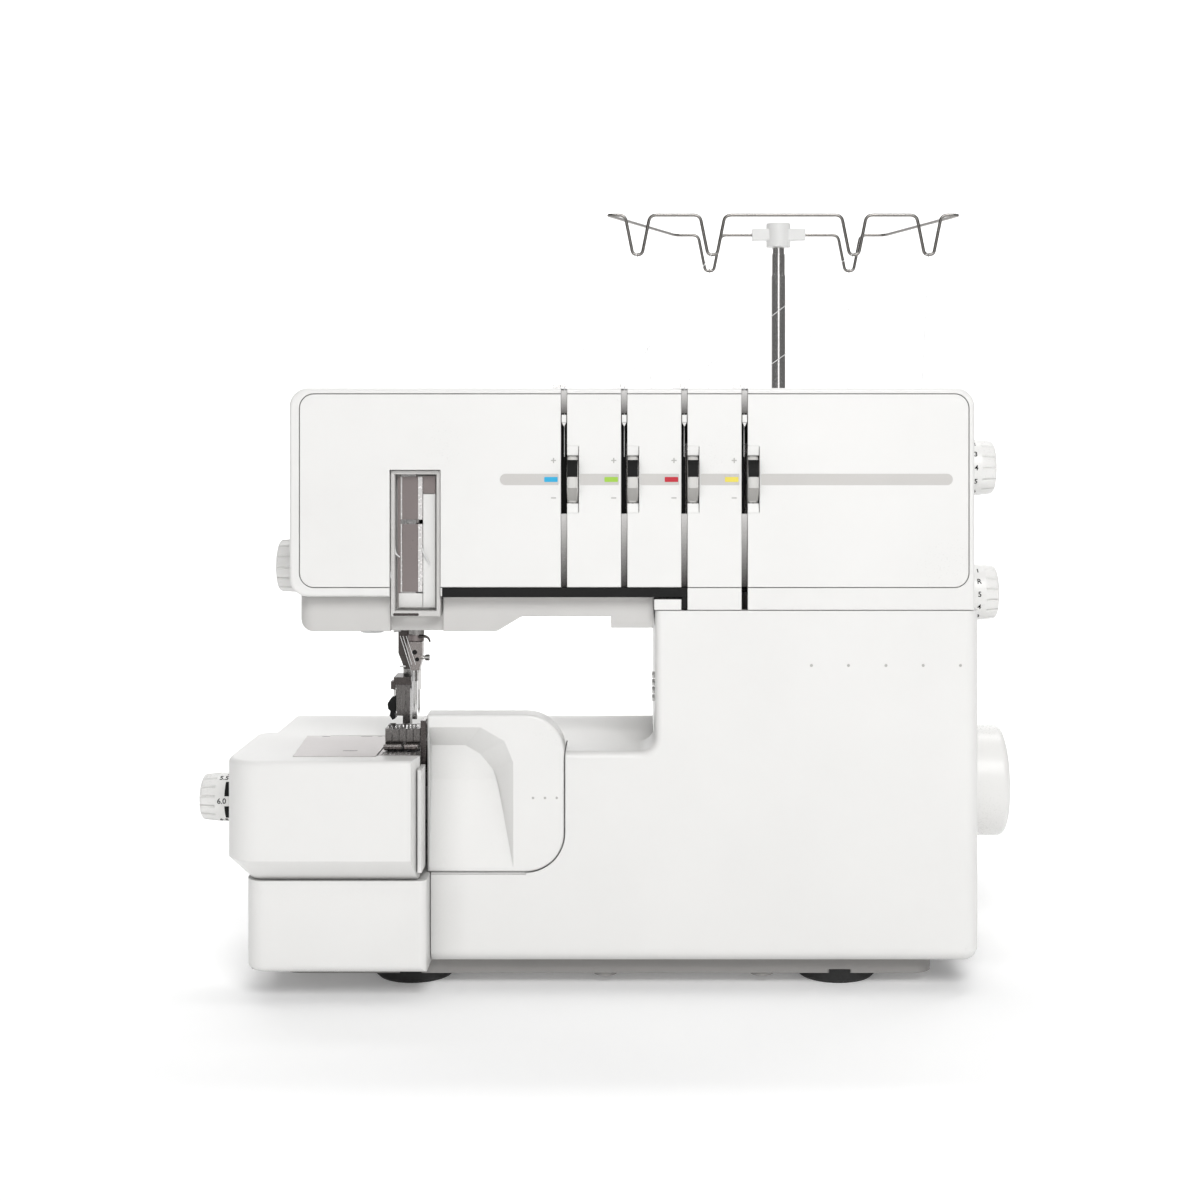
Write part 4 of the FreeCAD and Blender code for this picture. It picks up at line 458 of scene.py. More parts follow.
def numeral_mesh(work, text, size, place, across, up, proud):
    """Adds raised figures: across is the reading direction, up their upright, both unit vectors."""
    curve = bpy.data.curves.new("figures", "FONT")
    curve.body = text
    curve.size = size
    curve.align_x = curve.align_y = "CENTER"
    curve.extrude = proud
    curve.offset = size * 0.015
    curve.resolution_u = 3
    item = bpy.data.objects.new("figures", curve)
    link(item)
    mesh = bpy.data.meshes.new_from_object(item.evaluated_get(bpy.context.evaluated_depsgraph_get()))
    across, up = Vector(across), Vector(up)
    out = across.cross(up)
    turn = Matrix((across, up, out)).transposed().to_4x4()
    mesh.transform(Matrix.Translation(Vector(place)) @ turn)
    work.from_mesh(mesh)
    bpy.data.objects.remove(item)
    bpy.data.curves.remove(curve)
    bpy.data.meshes.remove(mesh)


# ------------------------------------------------------------------ knobs and dials
def round_wheel(angle):
    """Outward and upward directions at an angle round a wheel that turns on X."""
    return Vector((0, -math.cos(angle), math.sin(angle))), Vector((0, math.sin(angle), math.cos(angle)))


def grooved(count, depth, width, start, end):
    """Radius of a grip with narrow grooves between start and end along its axis."""
    def shape(distance, radius, angle):
        if not start <= distance <= end:
            return radius
        phase = (angle * count / (2 * math.pi)) % 1.0
        gap = min(phase, 1.0 - phase) * 2 * math.pi * radius / count
        return radius - depth * max(0.0, 1.0 - (gap / width) ** 2)
    return shape


SKIRT_INSET = 0.8 * MM  # the skirt that carries the figures lies inside the knob's rim


def make_side_knob(node, body, name, way, face, grip, grooves, labels=(), pitch=0, label_x=0.0):
    """A grip with grooves on its outer half and figures round its skirt.

    Way is +1 on the right side; face is the grip's end and label_x the figures' middle, both in x; pitch is
    the angle between two figures in degrees.
    """
    first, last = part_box(node)
    centre = middle(node)
    radius = (last.z - first.z) / 2
    start = first.x if way > 0 else last.x
    stem_end = start + way * 6 * MM
    length = abs(face - stem_end)
    grip_start = length - grip
    rows = [(-6 * MM, 0.0), (-6 * MM, 4 * MM), (0, 4 * MM), (0, radius - 0.3 * MM), (0.3 * MM, radius),
            (2.1 * MM, radius), (2.6 * MM, radius - SKIRT_INSET),
            (grip_start - 0.4 * MM, radius - SKIRT_INSET), (grip_start, radius - SKIRT_INSET),
            (grip_start + 0.4 * MM, radius - 0.85 * MM)]
    for step in range(1, 5):
        rows.append((grip_start + 0.4 * MM + (grip - 2.2 * MM) * step / 4,
                     radius - (0.85 + 0.12 * step) * MM))
    for step in range(1, 6):
        angle = math.radians(90 * step / 5)
        rows.append((length - 1.6 * MM + 1.6 * MM * math.sin(angle) * 0.999,
                     radius - 1.33 * MM - 1.6 * MM * (1 - math.cos(angle))))
    rows += [(length, radius - 4.2 * MM), (length - 0.35 * MM, radius - 4.5 * MM),
             (length - 0.35 * MM, radius - 5.1 * MM), (length - 0.1 * MM, radius - 5.4 * MM),
             (length - 0.05 * MM, 0.0)]
    shape = grooved(grooves, 0.85 * MM, 0.45 * MM, grip_start + 0.2 * MM, length - 0.5 * MM)
    work = bmesh.new()
    offset = stem_end - centre.x
    profile = [(offset + way * distance, reach) for distance, reach in rows]
    add_turned(work, "X", centre, profile, count=grooves * 14,
               shape=lambda distance, reach, angle: shape(way * (distance - offset), reach, angle))
    item = piece(name, work, "knob_white", body, sharp=0.7)
    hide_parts(node)
    if labels:
        work = bmesh.new()
        for index, label in enumerate(labels):
            angle = math.radians(pitch * (index - len(labels) // 2))
            out, up = round_wheel(angle)
            place = Vector((label_x, centre.y, centre.z)) + out * (radius - SKIRT_INSET)
            numeral_mesh(work, label, 3.1 * MM, place, (1, 0, 0), up, 0.06 * MM)
        piece(name + "_figures", work, "print_black", body)
    return radius


def make_knobs():
    make_side_knob("differential_feed_knob", "feed_knob", "feed_knob_grip", 1,
                   high("differential_feed_knob").x - 1.9 * MM, 6.2 * MM, 14, ["6", "5", "4", "3", "2"], 29,
                   151.2 * MM)
    make_side_knob("stitch_length_knob", "length_knob", "length_knob_grip", 1,
                   high("stitch_length_knob").x - 1.8 * MM, 5.6 * MM, 15, ["2", "3", "4", "5", "R", "1"], 27,
                   152.6 * MM)
    make_side_knob("foot_pressure_knob", "pressure_knob", "pressure_knob_grip", -1,
                   low("foot_pressure_knob").x + 2.0 * MM, 11.0 * MM, 14)
    radius = make_side_knob("cutting_width_knob", "width_knob", "width_knob_grip", -1,
                            low("cutting_width_knob").x + 1.2 * MM, 6.6 * MM, 15,
                            ["7.5", "7.0", "6.5", "6.0", "5.5", "5.0"], 60, -161.3 * MM)
    # broken dark ring behind the figures of the cutting width knob, in short straight runs of 2 degrees
    centre = middle("cutting_width_knob")
    work = bmesh.new()
    reach = radius - SKIRT_INSET

    def ring_points(first, radius):
        return [(-160.2 * MM, centre.y - radius * math.cos(angle), centre.z + radius * math.sin(angle))
                for angle in (math.radians(first), math.radians(first + 2))]

    for index in range(6):
        for step in range(18):
            first = 60 * index + 12 + 2 * step
            inner, outer = ring_points(first, reach - 0.3 * MM), ring_points(first, reach + 0.04 * MM)
            add_prism(work, inner + outer[::-1], (2.1 * MM, 0, 0))
    piece("width_knob_ring", work, "print_black", "width_knob")


DIAL_STEPS = 288
DIAL_RIBS = 96


def make_dials():
    """Thumbwheels with fine ribs at their rims, light fields that carry the figures, and painted shade: a
    black band of painted shadow above the middle and a darker field below it.
    """
    for number in DIAL_NUMBERS:
        node = "tension_dial_%d" % number
        body = "dial_%d" % number
        first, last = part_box(node)
        centre = middle(node)
        radius = (last.z - first.z) / 2 - 1.8 * MM
        half = (last.x - first.x) / 2

        def shape(distance, reach, angle):
            if reach < radius - 0.35 * MM or abs(distance) < half * 0.52:
                return reach
            return reach - 0.16 * MM * (0.5 + 0.5 * math.cos(angle * DIAL_RIBS))

        rim = ((0, 3.0), (0.25, 2.6), (0, 2.2), (0, 1.1), (0.25, 0.5), (0.75, 0.1))
        profile = [(-half, 2.6 * MM)] + [(inset * MM - half, radius - drop * MM) for inset, drop in rim]
        profile.append((-half * 0.5, radius))
        profile += [(-distance, reach) for distance, reach in profile[::-1]]
        work = bmesh.new()
        add_turned(work, "X", centre, profile, count=DIAL_STEPS, shape=shape)
        # the two end caps give way to a bore
        caps = [face for face in work.faces if len(face.verts) > 10]
        one, two = [face.verts[:] for face in caps]
        bmesh.ops.delete(work, geom=caps, context="FACES_ONLY")
        for step in range(DIAL_STEPS):
            after = (step + 1) % DIAL_STEPS
            work.faces.new((one[step], one[after], two[-1 - after], two[-1 - step]))
        item = piece("dial_wheel_%d" % number, work, "dial_light", body, sharp=0.5)
        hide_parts(node)
        fields = bmesh.new()
        figures = bmesh.new()
        for value in range(1, 10):
            angle = math.radians(60 + 30.6 * (value - 1))
            out, up = round_wheel(angle)
            add_arc_field(fields, centre, radius - 0.05 * MM, radius + 0.04 * MM, half * 0.6, angle,
                          math.radians(8.5))
            numeral_mesh(figures, str(value), 2.7 * MM, centre + out * (radius + 0.06 * MM), (1, 0, 0), up,
                         0.03 * MM)
        piece("dial_fields_%d" % number, fields, "print_white", body)
        piece("dial_figures_%d" % number, figures, "print_black", body)
        # painted shadow: a black band where the gap above the wheel is dark; painted shade: a darker field on
        # the wheel's lower half
        for name, proud, width, angle, spread, surface, slot in (
                ("dial_band_%d", 0.06, 0.95, 22.4, 17.2, "print_black", "black_plastic"),
                ("dial_shade_%d", 0.05, 0.9, -30, 14, "dial_shade", "dial_grey")):
            work = bmesh.new()
            add_arc_field(work, centre, radius - 0.1 * MM, radius + proud * MM, half * width,
                          math.radians(angle), math.radians(spread))
            piece(name % number, work, surface, body)


def add_arc_field(work, centre, inner, outer, half, angle, spread):
    """A thin curved plate on a wheel's rim."""
    steps = 6
    rows = []
    for step in range(steps + 1):
        turn = angle - spread + 2 * spread * step / steps
        out = round_wheel(turn)[0]
        rows.append([work.verts.new(centre + out * reach + Vector((side, 0, 0)))
                     for reach, side in ((inner, -half), (outer, -half), (outer, half), (inner, half))])
    for first, second in zip(rows, rows[1:]):
        for index in range(4):
            after = (index + 1) % 4
            work.faces.new((first[index], first[after], second[after], second[index]))
    work.faces.new(rows[0][::-1])
    work.faces.new(rows[-1])


# ------------------------------------------------------------------ marks on the covers
SLOTS = [middle("tension_dial_%d" % number).x - 3.4 * MM for number in DIAL_NUMBERS]
STRIP_LOW, STRIP_HIGH = 202.8 * MM, 207.2 * MM


def mark(work, x0, x1, z0, z1, face, radius, proud):
    """A thin printed or glued field on a surface that faces the front."""
    add_prism(work, rounded_outline(x0, x1, z0, z1, face - proud, radius), (0, proud + 0.05 * MM, 0))


def make_panel_marks():
    """Grey strip between the slots, a colour bar for each thread, and plus and minus signs."""
    face = low("front_panel").y
    strip = bmesh.new()
    starts = [low("front_panel").x + 80.1 * MM] + [slot + 6.6 * MM for slot in SLOTS]
    ends = [slot - 2.2 * MM for slot in SLOTS] + [high("front_panel").x - 6.4 * MM]
    for x0, x1 in zip(starts, ends):
        left_round = 2.19 * MM if x0 == starts[0] else 0.3 * MM
        right_round = 2.19 * MM if x1 == ends[-1] else 0.3 * MM
        outline = ends_outline(x0, x1, STRIP_LOW, STRIP_HIGH, face - 0.08 * MM, left_round, right_round)
        add_prism(strip, outline, (0, 0.13 * MM, 0))
    piece("panel_strip", strip, "strip_grey", "machine")
    for slot, colour in zip(SLOTS, ("blue", "green", "red", "yellow")):
        bar = bmesh.new()
        mark(bar, slot - 7.9 * MM, slot - 2.5 * MM, 204.0 * MM, 206.0 * MM, face, 0.3 * MM, 0.14 * MM)
        piece("thread_colour_" + colour, bar, "print_" + colour, "machine")
    signs = bmesh.new()
    for slot in SLOTS:
        x = slot - 4.2 * MM
        # a plus of two bars over the strip, and a minus under it
        for half, z0, z1, proud in ((1.0, 212.4, 212.8, 0.06), (0.2, 211.6, 213.6, 0.07),
                                    (1.0, 197.4, 197.8, 0.06)):
            mark(signs, x - half * MM, x + half * MM, z0 * MM, z1 * MM, face, 0.1 * MM, proud * MM)
    piece("tension_signs", signs, "print_grey", "machine")


def make_cover_dots():
    """Rows of small raised dots on the pillar and on the looper cover."""
    for name, node, places, height, rows, body, slot in (
            ("casing_dots", "front_casing", (78.3, 93.1, 108.1, 123.0, 137.9), 130.6,
             [(-0.18, 0.0), (-0.15, 0.35), (0.0, 0.6), (0.2, 0.6)], "machine", "shell_white"),
            ("cover_dots", "looper_cover", (-33.1, -28.3, -23.6), 77.6,
             [(-0.14, 0.0), (-0.12, 0.3), (0.0, 0.5), (0.2, 0.5)], "looper_door", "cover_white")):
        dots = bmesh.new()
        for x in places:
            add_turned(dots, "Y", (x * MM, low(node).y, height * MM), mm_rows(rows), count=20)
        piece(name, dots, "print_grey", body)


# ------------------------------------------------------------------ thread stand
def make_cones():
    """Cones of thread with crossed windings on a plastic core."""
    first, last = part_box("thread_cones")
    height = last.z - first.z
    foot, top = CONE_FOOT, CONE_TOP
    places = [(first.x + foot, first.y + foot), (last.x - foot, first.y + foot)]
    places += [(x, last.y - foot) for x in REAR_CONES]
    wound = bmesh.new()
    cores = bmesh.new()
    for x, y in places:
        def shape(distance, reach, angle):
            if reach < 8 * MM:
                return reach
            rise = distance / height * 2 * math.pi
            turns = math.sin(34 * rise - 3 * angle) * 0.5 + math.sin(34 * rise + 3 * angle) * 0.5
            return reach + 0.16 * MM * turns - 0.16 * MM
        rows = [(1.2 * MM, 9.9 * MM), (1.2 * MM, foot - 1.6 * MM), (2.2 * MM, foot - 0.4 * MM)]
        for step in range(1, 120):
            part = step / 120
            rows.append((2.2 * MM + (height - 4.4 * MM) * part, foot - 0.4 * MM + (top - foot) * part))
        rows += [(height - 1.6 * MM, top - 0.8 * MM), (height - 1.2 * MM, 7.2 * MM)]
        add_turned(wound, "Z", (x, y, first.z), rows, count=96, shape=shape)
        rows = mm_rows([(0.0, 9.9), (0.0, 14.0), (1.0, 14.0), (1.15, 10.0)])
        rows += [(height - 1.0 * MM, 6.9 * MM), (height - 0.2 * MM, 7.3 * MM), (height, 7.0 * MM),
                 (height, 6.6 * MM)]
        add_turned(cores, "Z", (x, y, first.z), rows, count=48)
    item = piece("wound_thread", wound, "thread", "machine", sharp=0.9)
    piece("cone_cores", cores, "core_grey", "machine")
    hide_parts("thread_cones")


def make_guide_wire():
    """One bent wire with rounded corners, a notch for each thread."""
    first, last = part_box("thread_guide_wire")
    radius = WIRE_RADIUS
    y0, y1 = first.y + radius, last.y - radius
    z, foot_z = last.z - radius, first.z + radius
    half, foot = 6.0 * MM, 2.2 * MM
    mast = middle("mast_top").x
    ends = (first.x + last.x) / 2
    corners = [(first.x + radius, y0, z)]
    for offset in FRONT_NOTCHES:
        x = ends + offset * MM
        corners += [(x - half, y0, z), (x - foot, y0, foot_z), (x + foot, y0, foot_z), (x + half, y0, z)]
    corners += [(last.x - radius, y0, z), (mast + 56.5 * MM, y1, z)]
    for offset in REAR_NOTCHES:
        x = mast + offset * MM
        corners += [(x + half, y1, z), (x + foot, y1, foot_z), (x - foot, y1, foot_z), (x - half, y1, z)]
    corners.append((mast - 54.8 * MM, y1, z))
    work = bmesh.new()
    add_tube(work, arc(corners, 3.0 * MM, closed=True), radius, count=12, closed=True)
    item = piece("guide_wire", work, "wire_steel", "mast_head")
    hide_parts("thread_guide_wire")


def thread_runs():
    """The four threads' points, as the CAD has them, and on into the head's slots."""
    first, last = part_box("thread_guide_wire")
    y0, y1 = first.y + WIRE_RADIUS, last.y - WIRE_RADIUS
    foot_z = first.z + WIRE_RADIUS
    reach = 1.1 * MM
    cone_low, cone_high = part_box("thread_cones")
    beside = CONE_TOP + 0.6 * MM
    front_y, rear_y = cone_low.y + CONE_FOOT + beside, cone_high.y - CONE_FOOT + beside
    start_z = cone_high.z - 0.6 * MM
    ends = (first.x + last.x) / 2
    front = [ends + offset * MM for offset in FRONT_NOTCHES]
    rear = [middle("mast_top").x + offset * MM for offset in REAR_NOTCHES]
    slot_y = low("head_cover").y + 5 * MM
    top = high("face_thread_guides").z
    heads = [[(x, slot_y, top + 0.3 * MM), (x, slot_y - 0.4 * MM, top - 0.9 * MM),
              (x, slot_y - 0.8 * MM, 225 * MM), (x, slot_y - 0.4 * MM, 214 * MM)] for x in SLOTS]

    def over(x, y):
        return [(x, y + reach, foot_z), (x, y + reach * 0.8, foot_z + reach * 0.8), (x, y, foot_z + reach),
                (x, y - reach * 0.8, foot_z + reach * 0.8)]

    return [[(18 * MM, front_y, start_z)] + over(front[0], y0) + heads[0],
            [(REAR_CONES[0], rear_y, start_z)] + over(rear[1], y1) + over(front[1], y0)[1:] + heads[1],
            [(REAR_CONES[1], rear_y, start_z)] + over(rear[0], y1) + over(front[2], y0)[1:] + heads[2],
            [(146 * MM, front_y, start_z)] + over(front[3], y0) + heads[3]]


def divided(points, step):
    """More points along straight runs, so that a blended piece can bend."""
    out = []
    for first, second in zip(points, points[1:]):
        first, second = Vector(first), Vector(second)
        parts = max(1, int((second - first).length / step))
        out += [first.lerp(second, index / parts) for index in range(parts)]
    return out + [Vector(points[-1])]


def make_threads():
    work = bmesh.new()
    for points in thread_runs():
        add_tube(work, divided(points, 4 * MM), 0.17 * MM, count=6)
    item = piece("threads_to_head", work, "thread_line", None)
    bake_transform(item)
    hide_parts("threads")


# ------------------------------------------------------------------ slots and window in the head
def make_slot_parts():
    """Grey channel walls, thread tabs and dial scoops in the four threading slots."""
    face = low("front_panel").y
    half, foot = 1.15, low("front_panel").z / MM
    uppers, lowers = bmesh.new(), bmesh.new()
    tabs = bmesh.new()
    scoops = bmesh.new()
    for slot in SLOTS:
        place = (slot, face, 0)
        upper = placed(place, (-half, 0.5, 240.6), (-half, 0.9, 231.4), (-half, 3.0, 231.4),
                       (-half, 3.0, 240.6))
        add_prism(uppers, upper, (2 * half * MM, 0, 0))
        lower = placed(place, (-half, 0.45, 191.2), (-half, 3.0, 191.2), (-half, 3.4, foot),
                       (-half, 2.6, foot))
        add_prism(lowers, lower, (2 * half * MM, 0, 0))
        add_box_at(tabs, place, -0.95, 0.95, -0.2, 0.8, 227.9, 230.9)
        tip = placed(place, (-0.95, 0.1, 227.9), (0.95, 0.1, 227.9), (0.1, 0.3, 226.2), (-0.1, 0.3, 226.2))
        add_prism(tabs, tip, (0, 0.7 * MM, 0))
        for edge, mouth in ((218.45, 214.6), (191.55, 195.4)):
            scoop = placed(place, (1.25, -0.06, edge), (1.25, 0.55, mouth), (1.25, 1.2, mouth),
                           (1.25, 1.2, edge))
            add_prism(scoops, scoop, (4.5 * MM, 0, 0))
    soft_edges(tabs, 0.25 * MM)
    # the channel walls' colour carries painted shade, darker towards their foot
    piece("slot_channels_upper", uppers, "channel_upper", "machine")
    piece("slot_channels_lower", lowers, "channel_lower", "machine")
    piece("slot_tabs", tabs, "cover_white", "machine")
    piece("dial_scoops", scoops, "cover_white", "machine")
    # painted shadow: black sheets set back 0.7 mm behind the panel's face
    shadow = bmesh.new()
    add_box_at(shadow, (0, face, 0), -70.2, SLOTS[2] / MM + 1.2, 0.7, 1.6, 157.8, 161.7)
    add_box_at(shadow, (SLOTS[2], face, 0), -1.1, 1.1, 0.7, 1.6, 152.9, 157.8)
    piece("head_slot_painted_shadow", shadow, "black_plastic", "machine")


def make_window_parts():
    """Take-up bars, guide strip and inner walls behind the window on the left of the head."""
    front = low("take_up_window").y
    place = (0, front, 0)
    bars = bmesh.new()
    strips = bmesh.new()
    for z0, z1 in ((159.6, 186.9), (188.7, 206.0)):
        add_box_at(bars, place, -86.1, -79.8, 3.4, 4.4, z0, z1)
        add_box_at(strips, place, -79.7, -77.9, 3.0, 4.6, z0, z1)
        add_box_at(strips, place, -86.7, -86.2, 3.1, 4.4, z0, z1)
    soft_edges(bars, 0.3 * MM)
    soft_edges(strips, 0.2 * MM)
    piece("take_up_bars", bars, "bar_brown", "machine")
    piece("take_up_strips", strips, "bright_metal", "machine")
    walls = bmesh.new()
    add_box_at(walls, place, -77.7, -72.75, 3.2, 3.7, 153.2, 199.0)
    add_box_at(walls, place, -87.6, -77.9, 3.4, 3.9, 153.2, 159.0)
    piece("window_back", walls, "cover_white", "machine")
    dark = bmesh.new()
    add_box_at(dark, place, -77.7, -72.75, 3.2, 3.7, 199.2, 206.2)
    add_box_at(dark, place, -88.0, -86.8, 3.6, 4.2, 153.4, 206.0)
    piece("window_dark_wall", dark, "bar_brown", "machine")
    lip = bmesh.new()
    outline = rounded_outline(*mm(-89.3, -79.0, 150.2, 151.3), front - 0.06 * MM, 0.5 * MM)
    add_prism(lip, outline, (0, 0.3 * MM, 0))
    piece("window_lower_slot", lip, "dark_steel", "machine")
    threads = bmesh.new()
    run = placed(place, (-78.4, 2.6, 178.6), (-77.4, 2.2, 175.0), (-75.6, 2.6, 172.0), (-74.0, 4.6, 166.5))
    add_tube(threads, arc(run, 1.2 * MM), 0.22 * MM, count=8)
    run = placed(place, (-89.0, 2.4, 178.2), (-88.6, 2.0, 175.0), (-87.0, 2.6, 173.6))
    add_tube(threads, arc(run, 1.0 * MM), 0.3 * MM, count=8)
    piece("window_threads", threads, "thread_line", "machine")


# ------------------------------------------------------------------ needle, foot and knife
def make_needle_clamp():
    """Clamp with its collar, hook, screws and side guide, and the threads down to the needles' eyes."""
    centre = middle("needle_clamp")
    x, y = -82.1 * MM, centre.y
    front = y - 3.6 * MM
    body = bmesh.new()
    outline = [(-85.2, 138.4), (-85.2, 134.2), (-84.4, 130.2), (-83.5, 126.7), (-80.5, 126.7), (-79.5, 130.2),
               (-79.0, 134.2), (-79.0, 138.4)]
    add_front_plate(body, outline, front, 6.4 * MM)
    soft_edges(body, 0.9 * MM, 3)
    item = piece("clamp_body", body, "clamp_steel", "needle_group", sharp=0.8)
    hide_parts("needle_clamp")
    collar = bmesh.new()
    rows = mm_rows([(138.2, 0.0), (138.2, 2.9), (138.6, 3.3), (140.9, 3.3), (141.3, 3.0), (141.3, 0.0)])
    add_turned(collar, "Z", (x, y, 0), rows, count=48)
    piece("clamp_collar", collar, "bar_brown", "needle_group")
    hook = bmesh.new()
    run = placed((0, front, 0), (-80.6, 0.8, 140.3), (-78.2, 0.4, 140.7), (-76.5, 0.3, 139.9),
                 (-76.0, 0.3, 138.3))
    add_tube(hook, arc(run, 1.2 * MM), 0.62 * MM, count=12, taper=lambda part: 1.1 - 0.5 * part)
    piece("clamp_hook", hook, "dark_steel", "needle_group")
    holes = bmesh.new()
    for px, pz, reach in ((-82.2, 134.1, 1.0), (-81.2, 131.2, 0.85)):
        rows = mm_rows([(-0.05, 0.0), (-0.05, reach), (0.3, reach), (0.3, 0.0)])
        add_turned(holes, "Y", (px * MM, front, pz * MM), rows, count=24)
    piece("clamp_screw_wells", holes, "black_plastic", "needle_group")
    screw = bmesh.new()

    def knurled(distance, reach, angle):
        return reach - (0.09 * MM * (0.5 + 0.5 * math.cos(18 * angle)) if reach > 1.2 * MM else 0)

    rows = mm_rows([(-79.6, 0.0), (-79.6, 0.8), (-78.2, 0.8), (-78.2, 1.25), (-76.6, 1.3), (-76.3, 1.0),
                    (-76.3, 0.0)])
    add_turned(screw, "X", (0, y - 0.6 * MM, 131.6 * MM), rows, count=32, shape=knurled)
    piece("clamp_screw", screw, "chrome", "needle_group")
    guide = bmesh.new()
    add_box_at(guide, (0, y, 0), -81.0, -79.9, -1.2, 0.2, 118.6, 126.8)
    soft_edges(guide, 0.3 * MM)
    piece("needle_side_guide", guide, "print_white", "needle_group")
    lines = bmesh.new()
    for top_x, low_x, eye_x in ((-88.0, -84.6, -83.6), (-86.9, -83.5, -82.9), (-85.6, -82.0, -81.2)):
        run = placed((0, front, 0), (top_x, -0.5, 140.8), (low_x, -0.5, 130.0))
        run += placed((0, y, 0), (eye_x, -0.9, 125.0), (eye_x, -0.8, 110.2))
        add_tube(lines, arc(run, 1 * MM), 0.14 * MM, count=6)
    piece("needle_threads", lines, "thread_line", "needle_group")


def make_thread_plate():
    """Dark bent plate that hangs from the head behind the needle clamp, with a small white guide."""
    y = -101.9 * MM
    plate = bmesh.new()
    outline = [(-89.8, 146.0), (-89.8, 133.0), (-88.0, 128.4), (-87.6, 126.4), (-84.8, 126.4), (-84.2, 134.0),
               (-84.6, 146.0)]
    add_front_plate(plate, outline, y, 0.6 * MM)
    soft_edges(plate, 0.2 * MM)
    piece("thread_plate", plate, "dark_steel", "machine")
    guide = bmesh.new()
    rows = mm_rows([(-91.6, 0.0), (-91.6, 0.7), (-91.0, 0.9), (-90.4, 0.55), (-88.6, 0.55), (-88.6, 0.0)])
    add_turned(guide, "X", (0, y - 0.9 * MM, 142.3 * MM), rows, count=24)
    rows = mm_rows([(-89.2, 0.0), (-89.2, 0.4), (-86.6, 0.3), (-86.6, 0.0)])
    add_turned(guide, "X", (0, y - 0.9 * MM, 127.6 * MM), rows, count=16)
    piece("thread_plate_pins", guide, "clamp_white", "machine")


def make_presser_parts():
    """Foot holder with its black cap, release lever and bright shank."""
    body = bmesh.new()
    for x0, x1, y0 in ((-90.9, -88.7, -99.6), (-88.8, -87.0, -100.2), (-87.1, -85.3, -99.4)):
        add_box(body, *mm(x0, x1, y0, -89.2, 106.8, 119.8))
    soft_edges(body, 0.5 * MM)
    item = piece("holder_body", body, "foot_steel", "presser")
    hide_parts("presser_holder")
    cap = bmesh.new()
    add_box(cap, *mm(-91.9, -84.7, -100.6, -87.8, 119.7, 122.8))
    add_box(cap, *mm(-93.3, -91.4, -99.0, -95.0, 117.6, 120.9))
    soft_edges(cap, 0.6 * MM)
    piece("holder_cap", cap, "dark_steel", "presser")
    lever = bmesh.new()
    outline = [(-91.2, 115.0), (-93.2, 114.0), (-94.6, 111.8), (-94.4, 109.6), (-93.4, 108.6), (-93.8, 106.8),
               (-92.6, 105.0), (-91.4, 105.6), (-91.8, 107.6), (-91.1, 109.0)]
    add_front_plate(lever, outline, -99.4 * MM, 5 * MM)
    soft_edges(lever, 0.5 * MM)
    piece("holder_lever", lever, "black_plastic", "presser")
    bits = bmesh.new()
    rows = mm_rows([(114.6, 0.0), (114.6, 0.8), (117.4, 0.8), (117.4, 0.0)])
    add_turned(bits, "Z", mm(-91.5, -98.0, 0), rows, count=20)
    add_box(bits, *mm(-84.5, -82.5, -98.8, -96.4, 105.2, 121.0))
    soft_edges(bits, 0.3 * MM)
    piece("holder_shank", bits, "chrome", "presser")


def make_foot():
    """Presser foot: thick grooved bar, needle opening, shank block, rear plate, and split toe."""
    body = bmesh.new()
    for index in range(5):
        x0 = -92.6 + index * 2.83
        add_box(body, *mm(x0, x0 + 2.62, -119.6, -106.7, 99.6, 104.6 if index % 2 else 104.9))
    add_box(body, *mm(-92.4, -78.8, -119.1, -106.4, 99.9, 103.9))
    add_box(body, *mm(-92.2, -84.6, -107.0, -103.2, 98.4, 102.4))
    add_box(body, *mm(-79.6, -78.9, -107.0, -103.2, 98.4, 101.6))
    add_box(body, *mm(-91.6, -79.4, -103.6, -89.2, 98.2, 100.9))
    add_box(body, *mm(-88.4, -85.4, -98.6, -91.4, 100.5, 106.4))
    soft_edges(body, 0.35 * MM)
    item = piece("foot_bar", body, "foot_steel", "foot")
    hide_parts("presser_foot")
    toe = bmesh.new()
    for x0, x1 in ((-92.6, -85.6), (-84.4, -78.9)):
        outline = [(-124.8, 98.6), (-124.4, 97.6), (-122.4, 96.6), (-108.4, 96.5), (-108.4, 99.9),
                   (-118.0, 99.9), (-122.0, 98.7), (-124.4, 99.3)]
        add_prism(toe, mm_rows([(x0, y, z) for y, z in outline]), mm(x1 - x0, 0, 0))
    soft_edges(toe, 0.2 * MM)
    piece("foot_toe", toe, "clamp_steel", "foot")
    teeth = bmesh.new()
    for index in range(9):
        x0 = -92.2 + index * 1.45
        tooth = mm_rows([(x0, -117.6, 104.4), (x0 + 0.9, -117.6, 104.4), (x0 + 0.45, -117.0, 105.7)])
        add_prism(teeth, tooth, (0, 3.0 * MM, 0))
    piece("foot_teeth", teeth, "chrome", "foot")


